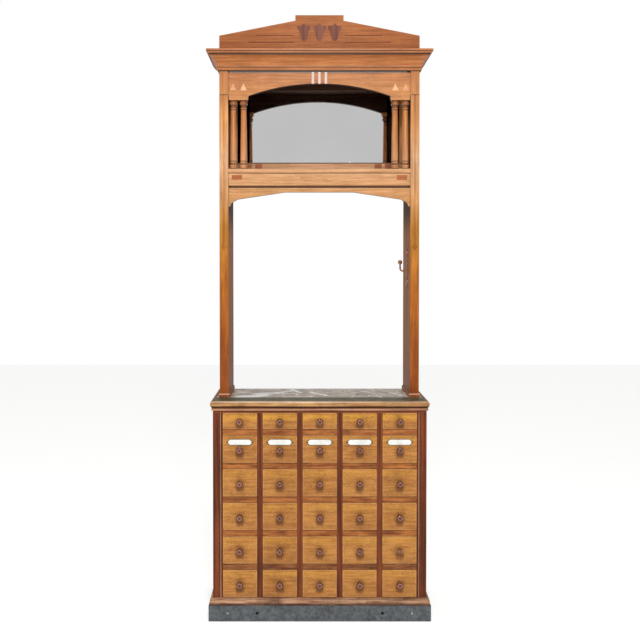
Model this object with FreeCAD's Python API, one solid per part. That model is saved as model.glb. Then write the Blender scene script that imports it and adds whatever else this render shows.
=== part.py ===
"""Apothecary cabinet: a drawer case with a marble worktop, and a display niche held over it by two posts.

Millimetres, +Z up, origin on the floor at the centre of the overall box. The front faces -Y.
"""
import FreeCAD, Part
import os

V = FreeCAD.Vector

# ---- driving dimensions ---------------------------------------------------
BACK_Y = 200.0              # the whole back is flush against the wall
CASE_FRONT_Y = -170.0       # face of the stiles and of the drawer fronts
CASE_HALF = 420.0           # half width of the drawer case

PLINTH_TOP = 62.0
PLINTH_OUT = 17.0           # plinth stands proud of the case by this much
PLINTH_THICK = 50.0
PLINTH_HOLE_X = 246.0
PLINTH_HOLE_Z = 32.0
PLINTH_HOLE_R = 6.0
PLINTH_PLUG_X = 362.0
PLINTH_PLUG_Z = 32.0
PLINTH_PLUG_R = 4.5

BASE_TOP = 89.0             # top of the base moulding, foot of the lowest drawers
CASE_TOP = 821.0            # top of the highest drawers
BED_TOP = 845.0             # underside of the worktop
WORKTOP_TOP = 865.0
STRIP_THICK = 4.0           # the green front strip
NOSING_OUT = 10.0
NOSING_WIDTH = 15.0

COLUMNS_OF_DRAWERS = 5
ROW_HEIGHTS = [67.0, 111.0, 111.0, 111.0, 111.0, 111.0]   # drawer openings, top row first
OPENING_WIDTH = 137.0
DIVIDER = 20.0              # partitions show this much
RAIL_HEIGHT = 22.0          # rails between the rows
BOARD = 20.0                # case boards
STILE_THICK = 22.0
BACK_THICK = 10.0
BEARER_DEPTH = 45.0         # bearers under the case bottom
BEAD_QUIRK = 1.5            # grooves beside the bead on the stiles

FRONT_GAP = 0.7             # round each drawer front
FRONT_THICK = 18.0
FRONT_EASE = 1.2            # eased front edges
BOX_GAP = 1.5               # beside each drawer box
BOX_LIFT = 0.4              # over the runners
BOX_SIDE = 8.0
BOX_BOTTOM = 6.0
BOX_LENGTH = 318.0
BOX_HEADROOM = 10.0         # over the drawer sides
RUNNER_WIDTH = 14.0

KNOB_R = 13.0
KNOB_LENGTH = 30.0
SMALL_KNOB_R = 10.0         # one knob is a smaller replacement
SMALL_KNOB_LENGTH = 25.0
TENON_R = 3.9
TENON_HOLE_R = 4.0

LABEL_LENGTH = 94.0
LABEL_HEIGHT = 24.0
LABEL_THICK = 1.4
LABEL_DROP = 28.0           # its centre, under the top of the drawer front
LABEL_PIN_X = 50.4
LABEL_PIN_R = 2.6

POST_FRONT_Y = -62.0
POST_OUTER = 402.0
POST_WIDTH = 36.0
POST_TOP = 2178.0
POST_JOINT_Z = 2083.0       # the post head begins here
GROOVE_FOOT_Z = 1458.0
GROOVE_WIDTH = 6.0
GROOVE_DEPTH = 4.0
FOOT_HEIGHT = 16.0
FOOT_OUT = 5.0

FRAME_SET_BACK = 5.0        # rails between the posts stand back this much
RAIL_THICK = 22.0
APRON_TOP = 1710.0
APRON_FLAT_HALF = 137.0
APRON_FLAT_Z = 1693.0
APRON_NICK_X = 332.0
APRON_NICK_Z = 1664.0
APRON_FOOT_Z = 1636.0
FRIEZE_BOTTOM = 1720.0
FRIEZE_TOP = 1769.0
SHELF_TOP = 1787.0
SHELF_THICK = 16.0

COLUMN_X = [305.0, 347.0]
COLUMN_Y = -43.0
COLUMN_TOP = 2063.0
FASCIA_FOOT = 2079.0
ARCH_HALF = 286.0
ARCH_APEX = 2129.0
FASCIA_TOP = 2174.0
NICHE_CEILING = 2162.0
REED_R = 6.5
REED_PITCH = 26.0

MIRROR_Y = 163.0            # reflecting face
MIRROR_THICK = 5.0
MIRROR_RAIL = 48.0
MIRROR_STILE = 22.0
MIRROR_FRAME_THICK = 8.0
GLASS_LAP = 4.0             # the frame covers this much of the glass

CORNICE_OUT = 48.0
CORNICE_TOP = 2257.0
SHOULDER_Z = 2319.0
SLOPE_TOP_X = 100.0
SLOPE_TOP_Z = 2378.0
BLOCK_HALF = 97.0
BLOCK_TOP = 2400.0
PEDIMENT_THICK = 24.0
COVER_THICK = 14.0          # dust board behind the pediment

INLAY_PROUD = 0.4
SHIELD_X = [-62.0, 0.0, 61.0]
INLAID_LINE_X = 102.0
INLAID_LINE_HALF = 1.5
INLAID_LINES = [(2319.0, 253.0), (2292.0, 285.0)]     # (height, outer end)
TRIANGLE_HALF = 13.0
TRIANGLE_FOOT = 2101.0
TRIANGLE_TIP = 2130.0
FRIEZE_SLIP_BOTTOM = 1742.0
FRIEZE_SLIP_TOP = 1762.0
END_SLIP_X = [311.0, 353.0]
MIDDLE_SLIP_HALF = 11.0
MIDDLE_SLIP_PITCH = 44.0
SQUARE_X = [254.0, 297.0]
SQUARE_HALF = 15.0
SQUARE_BOTTOM = 1797.0
SQUARE_TOP = 1829.0

HOOK_Y = 50.0
HOOK_ARM_Z = 1375.0

# ---- sizes that follow ----------------------------------------------------
POST_INNER = POST_OUTER - POST_WIDTH
RAIL_Y = POST_FRONT_Y + FRAME_SET_BACK
PITCH = OPENING_WIDTH + DIVIDER
FIELD_HALF = (COLUMNS_OF_DRAWERS * PITCH - DIVIDER) / 2
INNER_Y = CASE_FRONT_Y + STILE_THICK
CASE_BACK_Y = BACK_Y - BACK_THICK
MARBLE_FRONT_Y = POST_FRONT_Y
WELL_HALF = CASE_HALF + NOSING_OUT - NOSING_WIDTH
WELL_FRONT_Y = CASE_FRONT_Y - NOSING_OUT + NOSING_WIDTH


# ---- shapes ---------------------------------------------------------------
def block(x0, x1, y0, y1, z0, z1):
    return Part.makeBox(x1 - x0, y1 - y0, z1 - z0, V(x0, y0, z0))


def mirrored(shape):
    return shape.mirror(V(0, 0, 0), V(1, 0, 0))


def both_sides(shape):
    return [shape, mirrored(shape)]


def outline(start, steps, place):
    """Closed face. A step is the next point, or (point on the arc, next point)."""
    edges = []
    here = place(start)
    for step in steps + [start]:
        if isinstance(step[0], tuple):
            there = place(step[1])
            edges.append(Part.Arc(here, place(step[0]), there).toShape())
        else:
            there = place(step)
            if here.distanceToPoint(there) < 1e-6:
                continue
            edges.append(Part.LineSegment(here, there).toShape())
        here = there
    return Part.Face(Part.Wire(edges))


def upright_panel(start, steps, y0, y1):
    """A board cut to an outline of (x, z) points, between two depths."""
    face = outline(start, steps, lambda p: V(p[0], y0, p[1]))
    return face.extrude(V(0, y1 - y0, 0))


def turning(start, steps, base, axis):
    """A turned piece from (radius, length) points, along axis from base."""
    face = outline(start, steps, lambda p: V(p[0], 0, p[1]))
    solid = face.revolve(V(0, 0, 0), V(0, 0, 1), 360)
    solid.Placement = FreeCAD.Placement(base, FreeCAD.Rotation(V(0, 0, 1), axis))
    return solid


def rod(base, axis, radius, length):
    return Part.makeCylinder(radius, length, base, axis)


def mitred_moulding(start, steps, half, front_y, out, inset):
    """Front and two side lengths of a moulding, mitred at the corners.

    The profile is (distance out from the faces it is planted on, height).
    """
    front = outline(start, steps, lambda p: V(-(half + out), front_y - p[0], p[1]))
    front = front.extrude(V(2 * (half + out), 0, 0))
    low = min(v.Point.z for v in front.Vertexes)
    high = max(v.Point.z for v in front.Vertexes)
    tip = V(half + out, front_y - out, low)
    heel = V(half - inset, front_y + inset, low)
    front_plan = [V(-tip.x, tip.y, low), tip, heel, V(-heel.x, heel.y, low)]
    side_plan = [tip, V(half + out, BACK_Y, low), V(half - inset, BACK_Y, low), heel]
    side = outline(start, steps, lambda p: V(half + p[0], front_y - out, p[1]))
    side = side.extrude(V(0, BACK_Y - front_y + out, 0))
    rise = V(0, 0, high - low)
    front = front.common(Part.Face(Part.makePolygon(front_plan + front_plan[:1])).extrude(rise))
    side = side.common(Part.Face(Part.makePolygon(side_plan + side_plan[:1])).extrude(rise))
    return [front] + both_sides(side)


def solids_of(shapes):
    found = []
    for shape in shapes:
        found += shape.Solids
    return found


def save(node, shapes):
    solids = solids_of(shapes)
    for solid in solids:
        if not solid.isValid() or solid.Volume <= 0:
            print("unsound solid in", node)
    Part.makeCompound(solids).exportStep("parts/" + node + ".step")


# ---- plinth and case ------------------------------------------------------
def row_spans():
    """(bottom, top) of each row of drawer openings, top row first."""
    spans = []
    top = CASE_TOP
    for height in ROW_HEIGHTS:
        spans.append((top - height, top))
        top -= height + RAIL_HEIGHT
    return spans


def column_centres():
    middle = (COLUMNS_OF_DRAWERS - 1) / 2
    return [(column - middle) * PITCH for column in range(COLUMNS_OF_DRAWERS)]


def stone_plinth():
    outer = CASE_HALF + PLINTH_OUT
    front_y = CASE_FRONT_Y - PLINTH_OUT
    inner_y = front_y + PLINTH_THICK
    front = block(-outer, outer, front_y, inner_y, 0, PLINTH_TOP)
    plugs = []
    for sign in (-1, 1):
        mouth = V(sign * PLINTH_HOLE_X, front_y, PLINTH_HOLE_Z)
        front = front.cut(rod(mouth, V(0, 1, 0), PLINTH_HOLE_R, PLINTH_THICK))
        start = V(sign * PLINTH_PLUG_X, front_y, PLINTH_PLUG_Z)
        plug = rod(start, V(0, 1, 0), PLINTH_PLUG_R, PLINTH_THICK / 2)
        front = front.cut(plug)
        plugs.append(plug)
    side = block(outer - PLINTH_THICK, outer, inner_y, BACK_Y, 0, PLINTH_TOP)
    return [front] + both_sides(side) + plugs


def base_moulding():
    profile = [(13, PLINTH_TOP), (13, PLINTH_TOP + 8), ((11.5, PLINTH_TOP + 20), (3, BASE_TOP - 2)),
               (3, BASE_TOP), (0, BASE_TOP)]
    return mitred_moulding((0, PLINTH_TOP), profile, CASE_HALF, CASE_FRONT_Y, 13, 0)


def carcass_base():
    inner = CASE_HALF - BOARD
    bottom = block(-inner, inner, INNER_Y, CASE_BACK_Y, BASE_TOP - BOARD, BASE_TOP)
    pieces = [bottom]
    for y in (INNER_Y, 0, CASE_BACK_Y - BEARER_DEPTH):
        pieces.append(block(-inner, inner, y, y + BEARER_DEPTH, PLINTH_TOP, BASE_TOP - BOARD))
    return pieces


def carcass_sides():
    return both_sides(block(CASE_HALF - BOARD, CASE_HALF, INNER_Y, CASE_BACK_Y, PLINTH_TOP, CASE_TOP))


def corner_stiles():
    """Each stile carries a small bead between two quirks, beside the drawers."""
    stile = block(FIELD_HALF, CASE_HALF, CASE_FRONT_Y, INNER_Y, PLINTH_TOP, CASE_TOP)
    for x in (FIELD_HALF + 3, FIELD_HALF + 10):
        quirk = block(x, x + BEAD_QUIRK, CASE_FRONT_Y, CASE_FRONT_Y + 2 * BEAD_QUIRK, BASE_TOP, CASE_TOP)
        stile = stile.cut(quirk)
    return both_sides(stile)


def back_panels():
    case_back = block(-CASE_HALF, CASE_HALF, CASE_BACK_Y, BACK_Y, PLINTH_TOP, BED_TOP)
    behind_mirror = MIRROR_Y + MIRROR_THICK
    niche_back = block(-POST_INNER, POST_INNER, behind_mirror, behind_mirror + BACK_THICK, FRIEZE_BOTTOM,
                       NICHE_CEILING)
    return [case_back, niche_back]


def partitions():
    pieces = []
    for x in column_centres()[1:]:
        middle = x - PITCH / 2
        half = DIVIDER / 2
        pieces.append(block(middle - half, middle + half, CASE_FRONT_Y, CASE_BACK_Y, BASE_TOP, CASE_TOP))
    return pieces


def drawer_rails():
    pieces = [block(-FIELD_HALF, FIELD_HALF, CASE_FRONT_Y, INNER_Y, PLINTH_TOP, BASE_TOP)]
    for bottom, top in row_spans()[:-1]:
        for x in column_centres():
            half = OPENING_WIDTH / 2
            pieces.append(block(x - half, x + half, CASE_FRONT_Y, INNER_Y, bottom - RAIL_HEIGHT, bottom))
    return pieces


def drawer_runners():
    """Pairs of strips on the partitions: runners for one row and kickers for the row under it."""
    pieces = []
    end = OPENING_WIDTH / 2
    for bottom, top in row_spans()[:-1]:
        for x in column_centres():
            for x0 in (x - end, x + end - RUNNER_WIDTH):
                strip = block(x0, x0 + RUNNER_WIDTH, INNER_Y, CASE_BACK_Y, bottom - RAIL_HEIGHT, bottom)
                pieces.append(strip)
    return pieces + both_sides(block(FIELD_HALF, CASE_HALF - BOARD, INNER_Y, CASE_BACK_Y, BASE_TOP, CASE_TOP))


def carcass_top():
    return [block(-CASE_HALF, CASE_HALF, CASE_FRONT_Y, CASE_BACK_Y, CASE_TOP, BED_TOP)]


def bed_moulding():
    profile = [(4, CASE_TOP + 8), ((6.2, CASE_TOP + 12), (4, CASE_TOP + 16)),
               ((5, BED_TOP - 3.5), (9, BED_TOP)), (0, BED_TOP)]
    return mitred_moulding((0, CASE_TOP + 8), profile, CASE_HALF, CASE_FRONT_Y, 9, 0)


# ---- worktop --------------------------------------------------------------
def worktop_nosing():
    inset = NOSING_WIDTH - NOSING_OUT
    profile = [(6, BED_TOP), ((9.2, BED_TOP + 3), (NOSING_OUT, BED_TOP + 8)), (NOSING_OUT, WORKTOP_TOP - 8),
               ((8, WORKTOP_TOP - 2.2), (3, WORKTOP_TOP)), (-inset, WORKTOP_TOP)]
    return mitred_moulding((-inset, BED_TOP), profile, CASE_HALF, CASE_FRONT_Y, NOSING_OUT, inset)


def worktop_board():
    return [block(-WELL_HALF, WELL_HALF, WELL_FRONT_Y, MARBLE_FRONT_Y, BED_TOP, WORKTOP_TOP - STRIP_THICK)]


def green_border():
    bottom = WORKTOP_TOP - STRIP_THICK
    return [block(-WELL_HALF, WELL_HALF, WELL_FRONT_Y, MARBLE_FRONT_Y, bottom, WORKTOP_TOP)]


def marble_slab():
    return [block(-WELL_HALF, WELL_HALF, MARBLE_FRONT_Y, BACK_Y, BED_TOP, WORKTOP_TOP)]


# ---- posts and niche ------------------------------------------------------
def post():
    """The post and its head, a slab each, with a stopped groove down the front face."""
    foot = WORKTOP_TOP + FOOT_HEIGHT
    shaft = block(POST_INNER, POST_OUTER, POST_FRONT_Y, BACK_Y, foot, POST_JOINT_Z)
    head = block(POST_INNER, POST_OUTER, POST_FRONT_Y, BACK_Y, POST_JOINT_Z, POST_TOP)
    middle = (POST_INNER + POST_OUTER) / 2
    half = GROOVE_WIDTH / 2
    stop = [(middle - half, POST_JOINT_Z), (middle - half, GROOVE_FOOT_Z + 14),
            (middle - 2.6 * half, GROOVE_FOOT_Z + 20), (middle - 2.6 * half, GROOVE_FOOT_Z + 12),
            (middle, GROOVE_FOOT_Z), (middle + 2.6 * half, GROOVE_FOOT_Z + 12),
            (middle + 2.6 * half, GROOVE_FOOT_Z + 20), (middle + half, GROOVE_FOOT_Z + 14),
            (middle + half, POST_JOINT_Z)]
    groove = upright_panel(stop[0], stop[1:], POST_FRONT_Y - 1, POST_FRONT_Y + GROOVE_DEPTH)
    return [shaft.cut(groove), head]


def posts():
    pieces = post()
    return pieces + [mirrored(piece) for piece in pieces]


def post_feet():
    top = WORKTOP_TOP + FOOT_HEIGHT
    x0 = POST_INNER - FOOT_OUT
    x1 = POST_OUTER + 3
    front = POST_FRONT_Y - FOOT_OUT
    foot = block(x0, x1, front, BACK_Y, WORKTOP_TOP, top)
    edges = []
    for edge in foot.Edges:
        ends = [v.Point for v in edge.Vertexes]
        on_top = all(abs(p.z - top) < 1e-6 for p in ends)
        at_back = all(abs(p.y - BACK_Y) < 1e-6 for p in ends)
        outer = all(abs(p.x - x1) < 1e-6 for p in ends)
        if on_top and not at_back and not outer:
            edges.append(edge)
    return both_sides(foot.makeFillet(6, edges))


def shelf_board():
    bottom = SHELF_TOP - SHELF_THICK
    nose_y = POST_FRONT_Y - 2
    start = (nose_y + 3, bottom)
    back = MIRROR_Y + MIRROR_THICK
    steps = [((nose_y, bottom + SHELF_THICK / 2), (nose_y + 3, SHELF_TOP)), (back, SHELF_TOP), (back, bottom)]
    face = outline(start, steps, lambda p: V(-POST_INNER, p[0], p[1]))
    return [face.extrude(V(2 * POST_INNER, 0, 0))]


def frieze_rail():
    """The rail with its rebated top and bottom edges, which read as dark lines."""
    rail = block(-POST_INNER, POST_INNER, RAIL_Y, RAIL_Y + RAIL_THICK, FRIEZE_BOTTOM, FRIEZE_TOP)
    tongue_y = RAIL_Y + 6
    back = RAIL_Y + RAIL_THICK
    tongue = block(-POST_INNER, POST_INNER, tongue_y, back, FRIEZE_TOP, SHELF_TOP - SHELF_THICK)
    lower = block(-POST_INNER, POST_INNER, tongue_y, back, APRON_TOP, FRIEZE_BOTTOM)
    return [rail.fuse(tongue).fuse(lower).removeSplitter()]


def apron():
    """Flat in the middle, sloping to each side, with a nick and a hollow quarter at the posts."""
    nick = APRON_NICK_X
    hollow_x = nick + 20
    hollow_z = APRON_FOOT_Z + 14.5
    foot_x = POST_INNER - 5
    right = [(APRON_FLAT_HALF, APRON_FLAT_Z), (nick, APRON_NICK_Z), (nick + 4, APRON_NICK_Z - 4),
             ((hollow_x, hollow_z), (foot_x, APRON_FOOT_Z)), (POST_INNER, APRON_FOOT_Z)]
    left = [(-POST_INNER, APRON_FOOT_Z), (-foot_x, APRON_FOOT_Z),
            ((-hollow_x, hollow_z), (-nick - 4, APRON_NICK_Z - 4)), (-nick, APRON_NICK_Z)]
    steps = right + [(POST_INNER, APRON_TOP), (-POST_INNER, APRON_TOP)] + left
    return [upright_panel((-APRON_FLAT_HALF, APRON_FLAT_Z), steps, RAIL_Y, RAIL_Y + RAIL_THICK)]


def arch_fascia():
    steps = [(-POST_INNER, FASCIA_FOOT), (-POST_INNER, FASCIA_TOP), (POST_INNER, FASCIA_TOP),
             (POST_INNER, FASCIA_FOOT), (ARCH_HALF, FASCIA_FOOT),
             ((0, ARCH_APEX), (-ARCH_HALF, FASCIA_FOOT))]
    return [upright_panel((-ARCH_HALF, FASCIA_FOOT), steps, RAIL_Y, RAIL_Y + RAIL_THICK)]


def fascia_mouldings():
    """Three half-round reeds at the crown of the arch, and a pad over each pair of columns."""
    pieces = []
    for step in (-1, 0, 1):
        foot = V(step * REED_PITCH, RAIL_Y, ARCH_APEX - 1)
        reed = rod(foot, V(0, 0, 1), REED_R, FASCIA_TOP - ARCH_APEX + 1)
        face_y = RAIL_Y - 2 * REED_R
        pieces.append(reed.common(block(-60, 60, face_y, RAIL_Y, ARCH_APEX - 1, FASCIA_TOP)))
    x0 = ARCH_HALF
    x1 = POST_INNER - 2
    back = 2 * COLUMN_Y - POST_FRONT_Y
    middle = (COLUMN_TOP + FASCIA_FOOT) / 2
    lower = block(x0 + 2, x1, POST_FRONT_Y + 2, back - 2, COLUMN_TOP, middle)
    upper = block(x0, x1, POST_FRONT_Y, back, middle, FASCIA_FOOT)
    return pieces + both_sides(lower.fuse(upper).removeSplitter())


def column(x):
    """Turned: ringed base, shaft swelling downwards, neck ring, flattened ball and disc."""
    foot = SHELF_TOP
    neck = COLUMN_TOP - 29
    steps = [(14, foot), ((15, foot + 4), (14, foot + 8)), ((15.5, foot + 13), (13, foot + 18)),
             (12, foot + 20), ((14.5, foot + 23.5), (12.5, foot + 27)), (13.5, foot + 30),
             (10.5, neck - 6), ((12.8, neck - 3), (10, neck)), (9.5, neck + 2),
             ((16.5, COLUMN_TOP - 15), (11, COLUMN_TOP - 3.5)), (15, COLUMN_TOP - 3), (15, COLUMN_TOP),
             (0, COLUMN_TOP)]
    return turning((0, foot), steps, V(x, COLUMN_Y, 0), V(0, 0, 1))


def columns():
    pieces = [column(x) for x in COLUMN_X]
    return pieces + [mirrored(piece) for piece in pieces]


def mirror_frame():
    """Four members lapped round the glass: a deep bottom rail and narrow stiles and top rail."""
    front = MIRROR_Y - MIRROR_FRAME_THICK
    rail_top = SHELF_TOP + MIRROR_RAIL
    top = NICHE_CEILING
    bottom = block(-POST_INNER, POST_INNER, front, MIRROR_Y, SHELF_TOP, rail_top)
    stile = block(POST_INNER - MIRROR_STILE, POST_INNER, front, MIRROR_Y, rail_top, top - MIRROR_STILE)
    head = block(-POST_INNER, POST_INNER, front, MIRROR_Y, top - MIRROR_STILE, top)
    return [bottom, head] + both_sides(stile)


def mirror_plate():
    back = MIRROR_Y + MIRROR_THICK
    half = POST_INNER - GLASS_LAP
    return [block(-half, half, MIRROR_Y, back, SHELF_TOP + GLASS_LAP, NICHE_CEILING - GLASS_LAP)]


def upper_boards():
    """Ceiling of the niche, and the board that closes the top behind the pediment."""
    ceiling = block(-POST_INNER, POST_INNER, RAIL_Y + RAIL_THICK, BACK_Y, NICHE_CEILING, POST_TOP)
    inner = POST_OUTER - BOARD
    cover = block(-inner, inner, POST_FRONT_Y + BOARD, BACK_Y, CORNICE_TOP - COVER_THICK, CORNICE_TOP)
    return [ceiling, cover]


# ---- cornice and pediment -------------------------------------------------
def cornice():
    """Bead and fillet, a large hollow, a fillet with a quirk, and a stepped top fillet."""
    z = POST_TOP
    profile = [(6, z), (6, z + 5), ((9.5, z + 8.5), (6, z + 12)), (8, z + 12), (8, z + 15),
               ((14.5, z + 40), (37, z + 57)), (38, z + 57), (38, z + 61), (36.5, z + 61), (36.5, z + 63),
               (43, z + 63), (43, z + 70), (CORNICE_OUT, z + 70), (CORNICE_OUT, CORNICE_TOP),
               (-BOARD, CORNICE_TOP)]
    return mitred_moulding((-BOARD, z), profile, POST_OUTER, POST_FRONT_Y, CORNICE_OUT, BOARD)


def pediment():
    right = [(POST_OUTER, CORNICE_TOP), (POST_OUTER, SHOULDER_Z), (SLOPE_TOP_X, SLOPE_TOP_Z),
             (BLOCK_HALF, SLOPE_TOP_Z), (BLOCK_HALF, BLOCK_TOP)]
    left = [(-x, z) for x, z in right[::-1]]
    return [upright_panel((0, CORNICE_TOP), right + left, POST_FRONT_Y, POST_FRONT_Y + PEDIMENT_THICK)]


def inlay(start, steps, face_y):
    """A slip of wood that stands a shade proud of its ground."""
    return upright_panel(start, steps, face_y - INLAY_PROUD, face_y)


def slip(x0, x1, z0, z1, face_y):
    return inlay((x0, z0), [(x1, z0), (x1, z1), (x0, z1)], face_y)


def inlays():
    pieces = []
    for x in SHIELD_X:
        half = [(28, 2357), (26, 2343), (20, 2338), (12, 2306), (6, 2298)]
        right = [(x + across, z) for across, z in half]
        left = [(x - across, z) for across, z in half[::-1]]
        pieces.append(inlay((x, 2368), [(x + 9, 2359)] + right + left + [(x - 9, 2359)], POST_FRONT_Y))
    for z, end in INLAID_LINES:
        low = z - INLAID_LINE_HALF
        high = z + INLAID_LINE_HALF
        line = inlay((INLAID_LINE_X, low), [(end, low), (end, high), (INLAID_LINE_X, high)], POST_FRONT_Y)
        pieces += both_sides(line)
    for x in COLUMN_X:
        foot = [(x + TRIANGLE_HALF, TRIANGLE_FOOT), (x, TRIANGLE_TIP)]
        pieces += both_sides(inlay((x - TRIANGLE_HALF, TRIANGLE_FOOT), foot, RAIL_Y))
    pieces += both_sides(slip(END_SLIP_X[0], END_SLIP_X[1], FRIEZE_SLIP_BOTTOM, FRIEZE_SLIP_TOP, RAIL_Y))
    for step in (-2, -1, 0, 1, 2):
        x0 = step * MIDDLE_SLIP_PITCH - MIDDLE_SLIP_HALF
        x1 = x0 + 2 * MIDDLE_SLIP_HALF
        pieces.append(slip(x0, x1, FRIEZE_SLIP_BOTTOM, FRIEZE_SLIP_TOP, RAIL_Y))
    frame_face = MIRROR_Y - MIRROR_FRAME_THICK
    for x in SQUARE_X:
        square = slip(x - SQUARE_HALF, x + SQUARE_HALF, SQUARE_BOTTOM, SQUARE_TOP, frame_face)
        pieces += both_sides(square)
    return pieces


def wall_hook():
    """A hook on a back plate, with a ball at its tip, screwed to the inside of the right post."""
    x = POST_INNER
    y = HOOK_Y
    plate_thick = 3.0
    face = outline((y - 8, 1345), [((y, 1310), (y + 8, 1345)), (y + 8, 1438), ((y, 1464), (y - 8, 1438))],
                   lambda p: V(x - plate_thick, p[0], p[1]))
    plate = face.extrude(V(plate_thick, 0, 0))
    wire_r = 3.5
    reach = 14.0
    bend_r = 12.0
    elbow = V(x - plate_thick - reach, y, HOOK_ARM_Z)
    bar = rod(elbow, V(1, 0, 0), wire_r, reach)
    disc = Part.Face(Part.Wire(Part.makeCircle(wire_r, elbow, V(1, 0, 0))))
    bend = disc.revolve(elbow + V(0, 0, bend_r), V(0, 1, 0), 90)
    tip = elbow + V(-bend_r, 0, bend_r)
    rise = rod(tip, V(0, 0, 1), wire_r, 20)
    ball = Part.makeSphere(9, tip + V(0, 0, 24))
    arm = bar.fuse(bend).fuse(rise).removeSplitter().cut(ball)
    screws = [rod(V(x - plate_thick - 2, y, z), V(1, 0, 0), 4, 2) for z in (1340, 1440)]
    return [plate, arm, ball] + screws


# ---- drawers --------------------------------------------------------------
def knob(x, z, radius, length):
    """A turned mushroom knob: shank, swelling head, rim and a shallow dished face, with its tenon."""
    neck = 0.5 * radius
    steps = [(TENON_R, -FRONT_THICK), (TENON_R, 0), (0.72 * radius, 0), (0.72 * radius, 2),
             ((neck, 0.35 * length), (0.8 * radius, 0.58 * length)),
             ((radius, 0.74 * length), (0.86 * radius, 0.92 * length)),
             (0.66 * radius, length), (0.5 * radius, length - 1), (0, length - 2.5)]
    return turning((0, -FRONT_THICK), steps, V(x, CASE_FRONT_Y, z), V(0, -1, 0))


def label_plate(x, z):
    """An enamelled plate whose corners are hollowed, held by a pin at each end."""
    end = LABEL_LENGTH / 2
    high = LABEL_HEIGHT / 2
    nick = 5.0
    face_y = CASE_FRONT_Y
    steps = [(x + end - nick, z - high), ((x + end - 1.5, z - high + 1.5), (x + end, z - high + nick)),
             (x + end, z + high - nick), ((x + end - 1.5, z + high - 1.5), (x + end - nick, z + high)),
             (x - end + nick, z + high), ((x - end + 1.5, z + high - 1.5), (x - end, z + high - nick)),
             (x - end, z - high + nick), ((x - end + 1.5, z - high + 1.5), (x - end + nick, z - high))]
    plate = upright_panel((x - end + nick, z - high), steps, face_y - LABEL_THICK, face_y)
    pins = []
    for side in (-1, 1):
        pins.append(rod(V(x + side * LABEL_PIN_X, face_y - 2, z), V(0, 1, 0), LABEL_PIN_R, 2))
    return [plate] + pins


def drawer(row, column):
    x = column_centres()[column]
    bottom, top = row_spans()[row]
    half = OPENING_WIDTH / 2 - FRONT_GAP
    front_back = CASE_FRONT_Y + FRONT_THICK
    front = block(x - half, x + half, CASE_FRONT_Y, front_back, bottom + FRONT_GAP, top - FRONT_GAP)
    ease = []
    for edge in front.Edges:
        if all(abs(v.Point.y - CASE_FRONT_Y) < 1e-6 for v in edge.Vertexes):
            ease.append(edge)
    front = front.makeFillet(FRONT_EASE, ease)
    middle = (bottom + top) / 2
    front = front.cut(rod(V(x, CASE_FRONT_Y, middle), V(0, 1, 0), TENON_HOLE_R, FRONT_THICK))

    outer = OPENING_WIDTH / 2 - BOX_GAP
    inner = outer - BOX_SIDE
    box_end = CASE_FRONT_Y + FRONT_THICK + BOX_LENGTH
    low = bottom + BOX_LIFT
    high = top - BOX_HEADROOM
    pieces = [front]
    pieces.append(block(x - outer, x - inner, front_back, box_end, low, high))
    pieces.append(block(x + inner, x + outer, front_back, box_end, low, high))
    pieces.append(block(x - inner, x + inner, box_end - BOX_SIDE, box_end, low, high - 6))
    pieces.append(block(x - inner, x + inner, front_back, box_end - BOX_SIDE, low, low + BOX_BOTTOM))
    replaced = row == 4 and column == 4
    if replaced:
        pieces.append(knob(x, middle, SMALL_KNOB_R, SMALL_KNOB_LENGTH))
    else:
        pieces.append(knob(x, middle, KNOB_R, KNOB_LENGTH))
    if row == 1:
        pieces += label_plate(x, top - LABEL_DROP)
    return pieces


# ---- the cabinet ----------------------------------------------------------
os.makedirs("parts", exist_ok=True)

FIXED = [stone_plinth, base_moulding, carcass_base, carcass_sides, corner_stiles, back_panels, partitions,
         drawer_rails, drawer_runners, carcass_top, bed_moulding, worktop_nosing, worktop_board, green_border,
         marble_slab, posts, post_feet, shelf_board, frieze_rail, apron, arch_fascia, fascia_mouldings,
         columns, mirror_frame, mirror_plate, upper_boards, cornice, pediment, inlays, wall_hook]
for make in FIXED:
    save(make.__name__, make())

for row in range(len(ROW_HEIGHTS)):
    for column in range(COLUMNS_OF_DRAWERS):
        save("drawer_%d_%d" % (row + 1, column + 1), drawer(row, column))
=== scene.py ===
"""The looks of an oak apothecary cabinet, built round its fixed frame.

Metres, +Z up; the drawers and the mirror face -Y. The sections follow the cabinet from the floor up.
"""

import math
import random

import bmesh
import bpy
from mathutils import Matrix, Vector


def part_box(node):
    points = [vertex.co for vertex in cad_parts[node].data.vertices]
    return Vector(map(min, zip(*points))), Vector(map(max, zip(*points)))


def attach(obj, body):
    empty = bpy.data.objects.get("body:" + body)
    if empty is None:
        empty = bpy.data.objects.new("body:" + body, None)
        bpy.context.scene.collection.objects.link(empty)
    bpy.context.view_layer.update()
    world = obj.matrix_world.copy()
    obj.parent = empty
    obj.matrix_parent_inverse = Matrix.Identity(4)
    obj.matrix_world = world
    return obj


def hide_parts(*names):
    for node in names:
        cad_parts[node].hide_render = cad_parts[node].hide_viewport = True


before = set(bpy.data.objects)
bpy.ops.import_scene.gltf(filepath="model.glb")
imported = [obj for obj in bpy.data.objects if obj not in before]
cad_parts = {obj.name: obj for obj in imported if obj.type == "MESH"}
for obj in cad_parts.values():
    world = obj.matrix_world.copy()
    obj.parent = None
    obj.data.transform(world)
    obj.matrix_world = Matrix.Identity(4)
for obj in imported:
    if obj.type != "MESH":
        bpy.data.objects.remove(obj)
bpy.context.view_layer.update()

# ---- Studio --------------------------------------------------------------------------------------------
# A pale floor, a bright room all round, and a broad soft lamp high behind the camera. The camera stands just
# under eye height, a little left of the middle.
EYE = Vector((-0.066, -3.767, 1.405))
LENS = 51.72
TILT = math.radians(1.313)

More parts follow.
